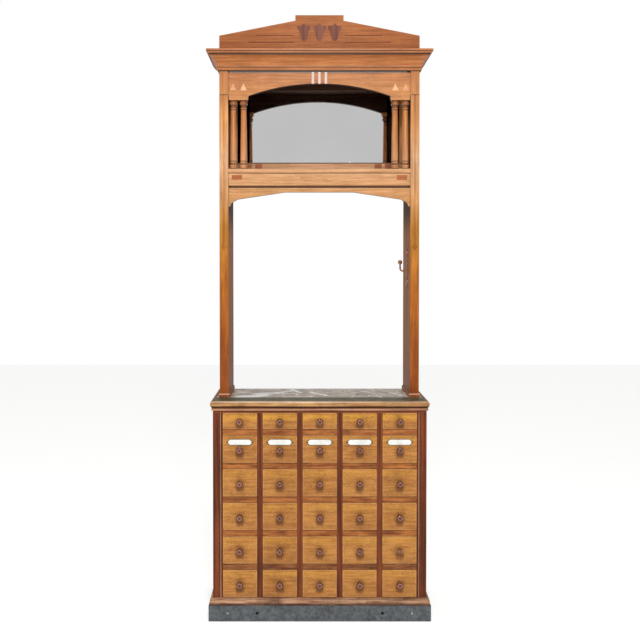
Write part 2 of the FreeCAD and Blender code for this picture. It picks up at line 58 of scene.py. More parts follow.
camera_data = bpy.data.cameras.new("camera")
camera_data.lens = LENS
camera_data.sensor_width = 36.0
camera_data.shift_x = 0.0266
camera_data.shift_y = -0.055
camera = bpy.data.objects.new("camera", camera_data)
camera.location = EYE
camera.rotation_euler = (math.radians(90) - TILT, 0.0, 0.0)
bpy.context.collection.objects.link(camera)
bpy.context.scene.camera = camera
bpy.context.scene.view_settings.view_transform = "Standard"

ROOM_LIGHT = 0.54
BACKDROP = 1.0

world = bpy.data.worlds.new("room")
world.use_nodes = True
bpy.context.scene.world = world
room = world.node_tree
room.nodes["Background"].inputs["Strength"].default_value = 1.0
seen = room.nodes.new("ShaderNodeLightPath")
level = room.nodes.new("ShaderNodeMapRange")
level.inputs["To Min"].default_value = ROOM_LIGHT
level.inputs["To Max"].default_value = BACKDROP
room.links.new(seen.outputs["Is Camera Ray"], level.inputs["Value"])
room.links.new(level.outputs["Result"], room.nodes["Background"].inputs["Color"])


def soft_lamp(name, place, aim, width, height, watts, tint=(1.0, 0.98, 0.95)):
    lamp = bpy.data.lights.new(name, "AREA")
    lamp.shape = "RECTANGLE"
    lamp.size = width
    lamp.size_y = height
    lamp.energy = watts
    lamp.color = tint
    holder = bpy.data.objects.new(name, lamp)
    holder.location = place
    holder.rotation_euler = (Vector(aim) - Vector(place)).to_track_quat("-Z", "Y").to_euler()
    bpy.context.collection.objects.link(holder)


soft_lamp("key", (0.06, -3.75, 3.35), (0.0, 0.0, 1.5), 0.90, 0.50, 104.0)
soft_lamp("fill", (-2.6, -3.0, 1.3), (0.0, 0.0, 0.8), 1.2, 1.2, 16.0)

floor_mesh = bpy.data.meshes.new("floor")
FLOOR_HALF = 9.0
corners = [(-FLOOR_HALF, -FLOOR_HALF, 0.0), (FLOOR_HALF, -FLOOR_HALF, 0.0), (FLOOR_HALF, FLOOR_HALF, 0.0),
           (-FLOOR_HALF, FLOOR_HALF, 0.0)]
floor_mesh.from_pydata(corners, [], [(0, 1, 2, 3)])
floor = bpy.data.objects.new("floor", floor_mesh)
bpy.context.collection.objects.link(floor)
floor_paint = bpy.data.materials.new("floor_paint")
floor_paint.use_nodes = True
floor_shader = floor_paint.node_tree.nodes["Principled BSDF"]
floor_shader.inputs["Base Color"].default_value = (0.93, 0.93, 0.92, 1)
floor_shader.inputs["Roughness"].default_value = 0.75
floor_shader.inputs["Emission Color"].default_value = (1.0, 1.0, 1.0, 1)
floor_shader.inputs["Emission Strength"].default_value = 0.42
floor_mesh.materials.append(floor_paint)


# ---- Plinth of bluestone -------------------------------------------------------------------------------
# Three honed slabs of blue-grey limestone, dark with age, with two drilled holes and two filled ones. They
# carry the case clear of a wet floor.
def put(tree, kind, inputs=None, **settings):
    """Adds a node; an input takes a number or colour, or is linked to another node's output."""
    node = tree.nodes.new(kind)
    for name, value in settings.items():
        setattr(node, name, value)
    for socket, value in (inputs or {}).items():
        if isinstance(value, bpy.types.NodeSocket):
            tree.links.new(value, node.inputs[socket])
        else:
            node.inputs[socket].default_value = value
    return node


def maths(tree, operation, a, b=0.0, clamp=False):
    return put(tree, "ShaderNodeMath", {0: a, 1: b}, operation=operation, use_clamp=clamp).outputs[0]


def product(tree, a, b):
    return maths(tree, "MULTIPLY", a, b)


def total(tree, a, b):
    return maths(tree, "ADD", a, b)


def less(tree, a, b):
    return maths(tree, "SUBTRACT", a, b)


def blend_colour(tree, factor, a, b, kind="MIX"):
    node = put(tree, "ShaderNodeMix", {0: factor, 6: a, 7: b}, data_type="RGBA", blend_type=kind)
    return node.outputs[2]


def fit(tree, value, low, high, to_low=0.0, to_high=1.0):
    """Maps low..high to to_low..to_high, smoothly, and holds it there outside."""
    sockets = {"Value": value, "From Min": low, "From Max": high, "To Min": to_low, "To Max": to_high}
    return put(tree, "ShaderNodeMapRange", sockets, interpolation_type="SMOOTHSTEP").outputs["Result"]


def stretch(tree, vector, scale):
    return put(tree, "ShaderNodeVectorMath", {0: vector, 1: scale}, operation="MULTIPLY").outputs[0]


def added(tree, a, b):
    return put(tree, "ShaderNodeVectorMath", {0: a, 1: b}, operation="ADD").outputs[0]


def cloud(tree, vector, scale, detail=3.0, roughness=0.55, distortion=0.0):
    sockets = {"Vector": vector, "Scale": scale, "Detail": detail, "Roughness": roughness,
               "Distortion": distortion}
    return put(tree, "ShaderNodeTexNoise", sockets).outputs["Fac"]


def new_group(name, inputs, outputs):
    """A shader group with named sockets; returns the tree, its input node and its output node."""
    tree = bpy.data.node_groups.new(name, "ShaderNodeTree")
    for socket, kind, value in inputs:
        made = tree.interface.new_socket(socket, in_out="INPUT", socket_type="NodeSocket" + kind)
        if value is not None:
            made.default_value = value
    for socket, kind in outputs:
        tree.interface.new_socket(socket, in_out="OUTPUT", socket_type="NodeSocket" + kind)
    return tree, tree.nodes.new("NodeGroupInput"), tree.nodes.new("NodeGroupOutput")


def new_material(name, roughness=0.5, coat=0.0, coat_roughness=0.2, metallic=0.0, specular=0.14):
    """A material with its plain numbers set; returns it, its tree and its Principled node."""
    material = bpy.data.materials.new(name)
    material.use_nodes = True
    tree = material.node_tree
    shader = tree.nodes["Principled BSDF"]
    shader.inputs["Roughness"].default_value = roughness
    shader.inputs["Coat Weight"].default_value = coat
    shader.inputs["Coat Roughness"].default_value = coat_roughness
    shader.inputs["Metallic"].default_value = metallic
    shader.inputs["Specular IOR Level"].default_value = specular
    return material, tree, shader


def place_of(tree):
    return put(tree, "ShaderNodeTexCoord").outputs["Object"]


def dress(tree, shader, colour=None, roughness=None, height=None, depth=0.0005, strength=1.0):
    """Joins colour, roughness and relief to the shader."""
    if colour is not None:
        tree.links.new(colour, shader.inputs["Base Color"])
    if roughness is not None:
        tree.links.new(roughness, shader.inputs["Roughness"])
    if height is not None:
        bump = put(tree, "ShaderNodeBump", {"Strength": strength, "Distance": depth, "Height": height})
        tree.links.new(bump.outputs["Normal"], shader.inputs["Normal"])


def grime_group():
    """Dirt and dust that gather in soft patches."""
    tree, start, end = new_group(
        "grime",
        [("Colour", "Color", (0.5, 0.5, 0.5, 1)), ("Dirt", "Color", (0.03, 0.02, 0.012, 1)),
         ("Amount", "Float", 0.3), ("Patch Size", "Float", 9.0), ("Place", "Vector", None)],
        [("Colour", "Color")])
    patches = cloud(tree, start.outputs["Place"], start.outputs["Patch Size"], 4.0, 0.65, 0.4)
    specks = cloud(tree, start.outputs["Place"], 160.0, 2.0)
    mask = product(tree, fit(tree, patches, 0.42, 0.72), fit(tree, specks, 0.3, 0.7, 0.5, 1.0))
    mask = maths(tree, "MULTIPLY", mask, start.outputs["Amount"], clamp=True)
    colour = blend_colour(tree, mask, start.outputs["Colour"], start.outputs["Dirt"])
    tree.links.new(colour, end.inputs["Colour"])
    return tree


GRIME = grime_group()


def with_grime(tree, colour, dirt, amount, patch_size=9.0):
    sockets = {"Colour": colour, "Dirt": dirt, "Amount": amount, "Patch Size": patch_size,
               "Place": place_of(tree)}
    return put(tree, "ShaderNodeGroup", sockets, node_tree=GRIME).outputs["Colour"]


def bluestone(name, light, dark):
    material, tree, shader = new_material(name, roughness=0.7)
    place = place_of(tree)
    body = cloud(tree, place, 60.0, 7.0, 0.78)
    grit = cloud(tree, place, 300.0, 3.0, 0.7)
    colour = blend_colour(tree, fit(tree, body, 0.26, 0.76), dark, light)
    colour = blend_colour(tree, fit(tree, grit, 0.56, 0.74, 0.0, 0.5), colour, (0.27, 0.30, 0.32, 1))
    scuffs = cloud(tree, stretch(tree, place, (5.0, 5.0, 40.0)), 3.0, 5.0, 0.6)
    colour = blend_colour(tree, fit(tree, scuffs, 0.62, 0.75, 0.0, 0.4), colour, (0.24, 0.22, 0.19, 1))
    colour = with_grime(tree, colour, (0.03, 0.030, 0.032, 1), 0.5, 20.0)
    relief = total(tree, product(tree, body, 0.6), product(tree, grit, 0.25))
    dress(tree, shader, colour, fit(tree, body, 0.3, 0.7, 0.55, 0.8), relief, 0.0012)
    return material


def closed_solids(node):
    """The node's separate solids, each a list of triangles: a solid ends where its last open edge is met."""
    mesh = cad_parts[node].data
    corners = [tuple(round(c, 6) for c in vertex.co) for vertex in mesh.vertices]
    found, faces, open_edges = [], [], set()
    for polygon in mesh.polygons:
        face = [corners[i] for i in polygon.vertices]
        faces.append(face)
        for a, b in zip(face, face[1:] + face[:1]):
            if a == b:
                continue
            if (b, a) in open_edges:
                open_edges.discard((b, a))
            else:
                open_edges.add((a, b))
        if not open_edges:
            found.append(faces)
            faces = []
    if faces:
        found.append(faces)
    return found


def middle_of(faces):
    points = [Vector(p) for face in faces for p in face]
    low = Vector([min(p[i] for p in points) for i in range(3)])
    high = Vector([max(p[i] for p in points) for i in range(3)])
    return (low + high) / 2, high - low


def new_piece(name, mesh, materials):
    piece = bpy.data.objects.new(name, mesh)
    for material in materials:
        mesh.materials.append(material)
    bpy.context.collection.objects.link(piece)
    return piece


def tell_board(mesh, values):
    """Gives every face its board's own number, which shifts and tints its figure."""
    board = mesh.attributes.new("board", "FLOAT", "FACE")
    board.data.foreach_set("value", values)


def mesh_from(bm, name):
    mesh = bpy.data.meshes.new(name)
    bm.to_mesh(mesh)
    bm.free()
    return mesh


def smooth_by_angle(bm, limit=math.radians(32)):
    for face in bm.faces:
        face.smooth = True
    for edge in bm.edges:
        edge.smooth = len(edge.link_faces) == 2 and edge.calc_face_angle(0.0) < limit


DICE = random.Random(11)


def eased(node, name, finishes, ease, pick=None, worn=None, repaint=None, body="cabinet",
          replaces=True):
    """A copy of a frame node, solid by solid, with its arrises eased.

    finishes(middle, size) gives the material of each solid, repaint(centre, normal) that of a face which
    differs from it, and worn is the material of the eased arrises.
    """
    materials = []
    bm = bmesh.new()
    board_layer = bm.faces.layers.float.new("board")
    for number, faces in enumerate(closed_solids(node)):
        middle, size = middle_of(faces)
        if pick is not None and not pick(number, middle, size):
            continue
        material = finishes(middle, size)
        if material not in materials:
            materials.append(material)
        known = {}
        solid_faces = []
        for face in faces:
            for corner in face:
                if corner not in known:
                    known[corner] = bm.verts.new(corner)
            if len(set(face)) == 3:
                solid_faces.append(bm.faces.new([known[corner] for corner in face]))
        own = DICE.random()
        for face in solid_faces:
            face.material_index = materials.index(material)
            face[board_layer] = own
    bmesh.ops.dissolve_limit(bm, angle_limit=math.radians(0.4), verts=bm.verts, edges=bm.edges)
    bm.normal_update()
    if repaint is not None:
        for face in bm.faces:
            other = repaint(face.calc_center_median(), face.normal)
            if other is None:
                continue
            if other not in materials:
                materials.append(other)
            face.material_index = materials.index(other)
    smooth_by_angle(bm)
    if worn is not None:
        materials.append(worn)
    piece = new_piece(name, mesh_from(bm, name), materials)
    if ease > 0:
        bevel = piece.modifiers.new("ease", "BEVEL")
        bevel.width = ease
        bevel.segments = 2
        bevel.limit_method = "ANGLE"
        bevel.angle_limit = math.radians(40)
        bevel.harden_normals = True
        if worn is not None:
            bevel.material = len(materials) - 1
    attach(piece, body)
    if replaces:
        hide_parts(node)


stone = bluestone("bluestone", (0.140, 0.154, 0.163, 1), (0.047, 0.053, 0.058, 1))
stone_edge = bluestone("bluestone_worn_edge", (0.25, 0.25, 0.25, 1), (0.13, 0.13, 0.135, 1))
filler = bluestone("hole_filler", (0.42, 0.40, 0.37, 1), (0.26, 0.25, 0.23, 1))


PLUG_LIMIT = 0.02           # only the filled holes' plugs are narrower


def stone_or_filler(middle, size):
    return filler if size.x < PLUG_LIMIT else stone


eased("stone_plinth", "plinth_slabs", stone_or_filler, 0.0022, worn=stone_edge)


# ---- Oak -----------------------------------------------------------------------------------------------
# Every board is oak sawn along its length, so its figure runs along its longest side. Pores show as short dark
# dashes, and the growth rings as slow bands.
def swing(tree, value, amount):
    """How far a value lies above or below a half, times the amount."""
    return product(tree, less(tree, value, 0.5), amount)


def oak_group():
    tree, start, end = new_group(
        "oak",
        [("Along Grain", "Vector", None), ("Board", "Float", 0.0), ("Light", "Color", (0.6, 0.3, 0.1, 1)),
         ("Dark", "Color", (0.3, 0.12, 0.03, 1)), ("Figure", "Float", 0.6), ("Pores", "Float", 0.5),
         ("Tone Spread", "Float", 0.25)],
        [("Colour", "Color"), ("Height", "Float"), ("Fibre", "Float")])
    board = start.outputs["Board"]
    shift = put(tree, "ShaderNodeCombineXYZ", {"X": product(tree, board, 17.0), "Y": product(tree, board, 9.0),
                                               "Z": product(tree, board, 5.0)}).outputs[0]
    along = added(tree, start.outputs["Along Grain"], shift)
    slow = cloud(tree, stretch(tree, along, (11.0, 11.0, 0.9)), 1.0, 2.0, 0.5)
    bands = maths(tree, "SINE", product(tree, slow, 46.0))
    bands = fit(tree, bands, -1.0, 1.0)
    streaks = cloud(tree, stretch(tree, along, (120.0, 120.0, 2.6)), 1.0, 4.0, 0.65)
    fibre = cloud(tree, stretch(tree, along, (620.0, 620.0, 11.0)), 1.0, 3.0, 0.6)
    mottle = cloud(tree, stretch(tree, along, (7.0, 7.0, 2.2)), 1.0, 3.0, 0.6)
    pores = cloud(tree, stretch(tree, along, (1500.0, 1500.0, 60.0)), 1.0, 2.0, 0.5)
    pores = product(tree, fit(tree, pores, 0.62, 0.72), start.outputs["Pores"])
    figure = swing(tree, bands, start.outputs["Figure"])
    tone = total(tree, product(tree, figure, 0.45), fit(tree, streaks, 0.28, 0.72))
    tone = total(tree, tone, swing(tree, fibre, 0.7))
    own = maths(tree, "FRACT", product(tree, board, 7.3))
    tone = total(tree, tone, swing(tree, own, start.outputs["Tone Spread"]))
    tone = maths(tree, "ADD", tone, swing(tree, mottle, 0.7), clamp=True)
    colour = blend_colour(tree, tone, start.outputs["Dark"], start.outputs["Light"])
    pore_colour = blend_colour(tree, 1.0, colour, (0.34, 0.27, 0.22, 1), "MULTIPLY")
    colour = blend_colour(tree, pores, colour, pore_colour)
    height = less(tree, product(tree, fibre, 0.6), pores)
    tree.links.new(colour, end.inputs["Colour"])
    tree.links.new(height, end.inputs["Height"])
    tree.links.new(fibre, end.inputs["Fibre"])
    return tree


OAK = oak_group()
GRAIN_ORDER = {"x": "YZX", "y": "XZY", "z": "XYZ"}


def grained(tree, axis, light, dark, figure=0.6, pores=0.5, tone_spread=0.25, shorter=1.0):
    """Places the oak group so that its grain runs along one axis; returns the group node.

    shorter is how many times shorter than usual the marks are along the grain.
    """
    parts = put(tree, "ShaderNodeSeparateXYZ", {"Vector": place_of(tree)})
    order = dict(zip("XYZ", (parts.outputs[letter] for letter in GRAIN_ORDER[axis])))
    along = stretch(tree, put(tree, "ShaderNodeCombineXYZ", order).outputs[0], (1.0, 1.0, shorter))
    board = put(tree, "ShaderNodeAttribute", attribute_name="board").outputs["Fac"]
    sockets = {"Along Grain": along, "Board": board, "Light": light, "Dark": dark, "Figure": figure,
               "Pores": pores, "Tone Spread": tone_spread}
    return put(tree, "ShaderNodeGroup", sockets, node_tree=OAK)


def oak(name, axis, light, dark, roughness=(0.40, 0.55), dirt=0.35, figure=0.45, pores=0.5, shorter=1.0,
        specular=0.14):
    material, tree, shader = new_material(name, coat_roughness=0.28, specular=specular)
    grain = grained(tree, axis, light, dark, figure, pores, shorter=shorter)
    colour = with_grime(tree, grain.outputs["Colour"], (0.035, 0.018, 0.010, 1), dirt)
    gloss = fit(tree, grain.outputs["Fibre"], 0.3, 0.7, *roughness)
    dress(tree, shader, colour, gloss, grain.outputs["Height"], 0.0006)
    return material


def longest(size):
    return "xyz"[max(range(3), key=lambda i: size[i])]


def oak_set(name, light, dark, **looks):
    """The same oak for boards that run along x, y or z."""
    made = {axis: oak(name + "_" + axis, axis, light, dark, **looks) for axis in "xyz"}
    return lambda middle, size: made[longest(size)]


dark_oak = oak_set("dark_oak", (0.215, 0.052, 0.016, 1), (0.070, 0.014, 0.005, 1), figure=0.35, dirt=0.4)
dark_edge = oak("dark_oak_worn_edge", "z", (0.34, 0.125, 0.050, 1), (0.15, 0.045, 0.018, 1), dirt=0.25)
bare_wood = oak_set("inner_softwood", (0.46, 0.29, 0.15, 1), (0.30, 0.17, 0.08, 1), roughness=(0.6, 0.8),
                    pores=0.2)
bare_edge = oak("inner_softwood_edge", "z", (0.55, 0.38, 0.22, 1), (0.38, 0.23, 0.12, 1), roughness=(0.6, 0.8))

# ---- Base moulding -------------------------------------------------------------------------------------
# Three mitred lengths planted on the foot of the case. Feet and mops have worn the varnish off their round
# top.
base_oak = oak_set("base_oak", (0.56, 0.330, 0.200, 1), (0.22, 0.095, 0.050, 1), dirt=0.8,
                   roughness=(0.4, 0.6), shorter=4.0)
base_foot = oak("base_oak_foot", "x", (0.30, 0.150, 0.090, 1), (0.08, 0.030, 0.018, 1), dirt=0.9, shorter=3.0)
base_edge = oak("base_oak_worn", "x", (0.62, 0.42, 0.29, 1), (0.36, 0.21, 0.13, 1), dirt=0.3)
BASE_FILLET_TOP = 0.0705    # the flat foot of the moulding ends here


def base_fillet(centre, normal):
    return base_foot if centre.z < BASE_FILLET_TOP and abs(normal.z) < 0.5 else None


eased("base_moulding", "base_moulding_lengths", base_oak, 0.0012, worn=base_edge, repaint=base_fillet)

# ---- Case ----------------------------------------------------------------------------------------------
# Sides, top and bottom boards, and the softwood inside that nobody sees until a drawer is out.
eased("carcass_sides", "case_sides", dark_oak, 0.0012, worn=dark_edge)
eased("carcass_top", "case_top", dark_oak, 0.0010, worn=dark_edge)
eased("carcass_base", "case_bottom", bare_wood, 0.0010, worn=bare_edge)
eased("back_panels", "back_boards", bare_wood, 0.0010, worn=bare_edge)
eased("drawer_runners", "runner_strips", bare_wood, 0.0008, worn=bare_edge)

# ---- Face frame ----------------------------------------------------------------------------------------
# Dark corner stiles with a bead beside the drawers, the edges of four partitions, and short rails between the
# drawers, which hands and dusters have rubbed to a warmer red-brown.
rubbed_bead = oak("stile_bead_rubbed", "z", (0.40, 0.200, 0.120, 1), (0.20, 0.080, 0.045, 1), dirt=0.3)
BEAD_SPAN = (0.3865, 0.3930)        # the bead's sides, from the middle of the cabinet
BEAD_FRONT = -0.1695


def bead_face(centre, normal):
    on_bead = BEAD_SPAN[0] < abs(centre.x) < BEAD_SPAN[1] and normal.y < -0.9
    return rubbed_bead if on_bead and centre.y < BEAD_FRONT else None


eased("corner_stiles", "front_stiles", dark_oak, 0.0008, repaint=bead_face)
eased("partitions", "partition_boards", dark_oak, 0.0012, worn=dark_edge)
rail_oak = oak_set("rail_oak", (0.44, 0.160, 0.042, 1), (0.17, 0.042, 0.011, 1), figure=0.25, dirt=0.6,
                   shorter=4.0)
rail_edge = oak("rail_oak_arris", "x", (0.115, 0.032, 0.011, 1), (0.055, 0.015, 0.006, 1), dirt=0.25)
low_rail_oak = oak_set("low_rail_oak", (0.31, 0.118, 0.040, 1), (0.120, 0.032, 0.010, 1), figure=0.25,
                       dirt=0.6, shorter=4.0)
LOW_RAILS = 0.34            # rails under this height are darker


def rail_finish(middle, size):
    return low_rail_oak(middle, size) if middle.z < LOW_RAILS else rail_oak(middle, size)


eased("drawer_rails", "drawer_rail_lengths", rail_finish, 0.0012, worn=rail_edge)

# ---- Bed moulding and worktop --------------------------------------------------------------------------
# A rubbed bead and a hollow under the worktop painted dark as shade, and a worn pale nosing that frames
# it, mitred at the corners. The nosing's upward faces are painted paler, partly wear and partly a painted
# highlight.
worn_bead = oak("bead_oak_worn", "x", (0.52, 0.285, 0.165, 1), (0.27, 0.115, 0.060, 1), dirt=0.35)
# The hollow's dark colour is painted shade.
cove_shade_oak = oak("cove_shade_oak", "x", (0.090, 0.025, 0.009, 1), (0.035, 0.010, 0.004, 1), dirt=0.4)
BEAD_TOP = 0.8372           # where the rubbed bead ends and the dark hollow starts


def bead_finish(centre, normal):
    if normal.z < -0.9 and centre.z < BEAD_TOP:
        return None
    return worn_bead if centre.z < BEAD_TOP else cove_shade_oak


eased("bed_moulding", "bed_moulding_lengths", dark_oak, 0.0, repaint=bead_finish)
nosing_oak = oak_set("nosing_oak", (0.62, 0.36, 0.150, 1), (0.30, 0.130, 0.045, 1), dirt=0.5,
                     roughness=(0.36, 0.55), shorter=2.0)
nosing_wear_and_highlight = oak("nosing_oak_worn_and_highlight", "x", (0.74, 0.55, 0.38, 1), (0.45, 0.27, 0.15, 1), dirt=0.35)
side_nosing = oak("nosing_oak_side", "y", (0.34, 0.165, 0.080, 1), (0.14, 0.058, 0.026, 1), dirt=0.6)
RETURN_FROM = 0.4145        # the returns lie outside this, and behind the line below
RETURN_FRONT = -0.05


# Upward faces of the nosing are painted paler, partly wear and partly a painted highlight.
def nosing_return(centre, normal):
    if abs(centre.x) > RETURN_FROM and centre.y > RETURN_FRONT:
        return side_nosing
    return nosing_wear_and_highlight if normal.z > 0.3 else None


eased("worktop_nosing", "worktop_nosing_lengths", nosing_oak, 0.0, repaint=nosing_return)
eased("worktop_board", "strip_ground", bare_wood, 0.0005)


def all_of(material):
    """The same finish for every solid of a node."""
    return lambda middle, size: material


def green_covering():
    """Dark olive-green covering of the strip along the worktop's front, rubbed through in places."""
    material, tree, shader = new_material("green_covering", roughness=0.5, coat=0.1)
    place = place_of(tree)
    body = cloud(tree, place, 35.0, 5.0, 0.7)
    wear = cloud(tree, stretch(tree, place, (14.0, 34.0, 34.0)), 1.0, 6.0, 0.7, 0.6)
    colour = blend_colour(tree, fit(tree, body, 0.3, 0.7), (0.062, 0.057, 0.024, 1), (0.140, 0.122, 0.062, 1))
    colour = blend_colour(tree, fit(tree, wear, 0.58, 0.74, 0.0, 0.55), colour, (0.29, 0.25, 0.17, 1))
    colour = with_grime(tree, colour, (0.03, 0.028, 0.018, 1), 0.7, 20.0)
    dress(tree, shader, colour, fit(tree, wear, 0.3, 0.7, 0.38, 0.62), body, 0.0006)
    return material


green = green_covering()
eased("green_border", "green_strip", all_of(green), 0.0006)


# ---- Marble slab ---------------------------------------------------------------------------------------
# Polished grey-brown marble with a crackle of fine white veins, a few broad ones running diagonally, and a
# clouded white patch near its left end.

# Each broad vein: where it starts and ends on the slab, how wide it is, and whether it is pure white or smoky.
VEINS = [
    ((-0.113, 0.165), (-0.079, 0.074), 0.012, True),
    ((-0.028, 0.100), (0.024, -0.013), 0.014, True),
    ((-0.325, -0.045), (-0.285, -0.038), 0.026, True),
    ((-0.300, -0.030), (-0.235, 0.000), 0.040, True),
    ((-0.270, -0.040), (-0.225, 0.030), 0.046, False),
    ((-0.250, 0.040), (-0.180, 0.070), 0.036, False),
    ((-0.180, 0.060), (-0.110, 0.140), 0.024, False),
    ((-0.330, 0.090), (-0.250, 0.030), 0.014, False),
    ((0.180, 0.120), (0.250, 0.010), 0.010, False),
    ((0.300, 0.080), (0.350, -0.030), 0.012, False)]


def apart(tree, across, along):
    """The length of the line whose two legs are given."""
    return maths(tree, "SQRT", total(tree, product(tree, across, across), product(tree, along, along)))


def vein(tree, across, deep, start, finish, width):
    """1 on the line from start to finish, fading to 0 at width from it; across and deep are the place."""
    run = Vector(finish) - Vector(start)
    length = run.length
    along_x, along_y = run.normalized()
    dx = less(tree, across, start[0])
    dy = less(tree, deep, start[1])
    forward = total(tree, product(tree, dx, along_x), product(tree, dy, along_y))
    forward = maths(tree, "MINIMUM", maths(tree, "MAXIMUM", forward, 0.0), length)
    off_x = less(tree, dx, product(tree, forward, along_x))
    off_y = less(tree, dy, product(tree, forward, along_y))
    return fit(tree, apart(tree, off_x, off_y), width * 0.35, width, 1.0, 0.0)


def marble():
    material, tree, shader = new_material("grey_brown_marble", coat=0.12, coat_roughness=0.1)
    place = place_of(tree)
    body = cloud(tree, place, 9.0, 7.0, 0.66, 1.2)
    fine = cloud(tree, place, 60.0, 5.0, 0.7, 0.8)
    colour = blend_colour(tree, fit(tree, body, 0.36, 0.64), (0.20, 0.145, 0.105, 1), (0.56, 0.45, 0.345, 1))
    colour = blend_colour(tree, fit(tree, fine, 0.42, 0.72, 0.0, 0.7), colour, (0.74, 0.67, 0.58, 1))
    warp = put(tree, "ShaderNodeTexNoise", {"Vector": place, "Scale": 9.0, "Detail": 7.0,
                                            "Roughness": 0.62}).outputs["Color"]
    bent = added(tree, place, stretch(tree, warp, (0.16, 0.16, 0.16)))
    cracks = put(tree, "ShaderNodeTexVoronoi", {"Vector": bent, "Scale": 9.0}, feature="DISTANCE_TO_EDGE")
    crack_line = fit(tree, cracks.outputs["Distance"], 0.0, 0.06, 1.0, 0.0)
    faint = fit(tree, cloud(tree, place, 6.0, 3.0), 0.42, 0.60, 0.15, 1.0)
    colour = blend_colour(tree, product(tree, crack_line, faint), colour, (0.90, 0.87, 0.82, 1))
    swayed = added(tree, place, stretch(tree, warp, (0.06, 0.06, 0.06)))
    parts = put(tree, "ShaderNodeSeparateXYZ", {"Vector": swayed})
    across = less(tree, parts.outputs["X"], 0.030)
    deep = less(tree, parts.outputs["Y"], 0.030)
    smoky = fit(tree, fine, 0.35, 0.6, 0.25, 0.85)
    for start, finish, width, bright in VEINS:
        line = vein(tree, across, deep, start, finish, width)
        strength = product(tree, line, 0.95 if bright else smoky)
        colour = blend_colour(tree, strength, colour, (0.97, 0.96, 0.94, 1))
    dress(tree, shader, colour, fit(tree, fine, 0.3, 0.7, 0.24, 0.38), body, 0.0003, 0.4)
    return material


slab = marble()
eased("marble_slab", "marble_worktop", all_of(slab), 0.0012)


# ---- Drawers -------------------------------------------------------------------------------------------
# Thirty drawers on softwood boxes. The oak fronts have gone honey-gold under their varnish, with rubbed edges,
# a dark halo where fingers reach for the knob, and the nails of labels that have gone.
KNOB_PROFILE = [(0.00, 0.60), (0.05, 0.62), (0.08, 0.46), (0.20, 0.42), (0.36, 0.52), (0.50, 0.78),
                (0.62, 0.96), (0.74, 1.00), (0.86, 0.95), (0.93, 0.84), (0.97, 0.68), (0.985, 0.50),
                (0.965, 0.34), (0.935, 0.18), (0.93, 0.00)]


def turned(name, profile, base, axis, length, radius, facets=40):
    """A turned solid from (distance along, radius) pairs, both as shares; the last pair lies on its axis."""
    axis = Vector(axis).normalized()
    side = axis.orthogonal().normalized()
    other = axis.cross(side)
    bm = bmesh.new()
    rings = []
    for along, share in profile:
        centre = Vector(base) + axis * (along * length)
        if share <= 0.0:
            rings.append([bm.verts.new(centre)])
            continue
        ring = []
        for step in range(facets):
            angle = 2 * math.pi * step / facets
            spoke = side * math.cos(angle) + other * math.sin(angle)
            ring.append(bm.verts.new(centre + spoke * (share * radius)))
        rings.append(ring)
    for low, high in zip(rings, rings[1:]):
        for step in range(facets):
            nxt = (step + 1) % facets
            if len(high) == 1:
                bm.faces.new([high[0], low[nxt], low[step]])
            else:
                bm.faces.new([low[step], high[step], high[nxt], low[nxt]])
    bm.faces.new(rings[0])
    bmesh.ops.recalc_face_normals(bm, faces=bm.faces)
    smooth_by_angle(bm, math.radians(50))
    return mesh_from(bm, name)


def knob_wood():
    material, tree, shader = new_material("knob_fruitwood", coat=0.9, coat_roughness=0.14)
    # The knob's pale face is partly rubbed wood and partly a painted highlight.
    rubbed = put(tree, "ShaderNodeAttribute", attribute_name="wear").outputs["Fac"]
    light = blend_colour(tree, rubbed, (0.095, 0.024, 0.010, 1), (0.34, 0.125, 0.065, 1))
    dark = blend_colour(tree, rubbed, (0.035, 0.009, 0.004, 1), (0.20, 0.060, 0.032, 1))
    grain = grained(tree, "y", light, dark, 0.4, 0.3, 0.5)
    colour = with_grime(tree, grain.outputs["Colour"], (0.02, 0.01, 0.007, 1), 0.3, 60.0)
    dress(tree, shader, colour, fit(tree, grain.outputs["Fibre"], 0.3, 0.7, 0.25, 0.42),
          grain.outputs["Height"], 0.0003)
    return material


FACE_FROM = 0.9             # shares of a knob's length, and of its radius
DIMPLE = 0.36
RIM = 0.8


def tell_wear_and_highlight(mesh, seat, length, radius):
    """1 where a knob's face is painted pale, partly rubbed by fingers and partly a painted highlight; 0 on its
    neck, its rim and the dimple in the middle.
    """
    values = []
    for vertex in mesh.vertices:
        along = (seat.y - vertex.co.y) / length
        share = math.hypot(vertex.co.x - seat.x, vertex.co.z - seat.z) / radius
        values.append(1.0 if along > FACE_FROM and DIMPLE < share < RIM else 0.0)
    mesh.attributes.new("wear", "FLOAT", "POINT").data.foreach_set("value", values)


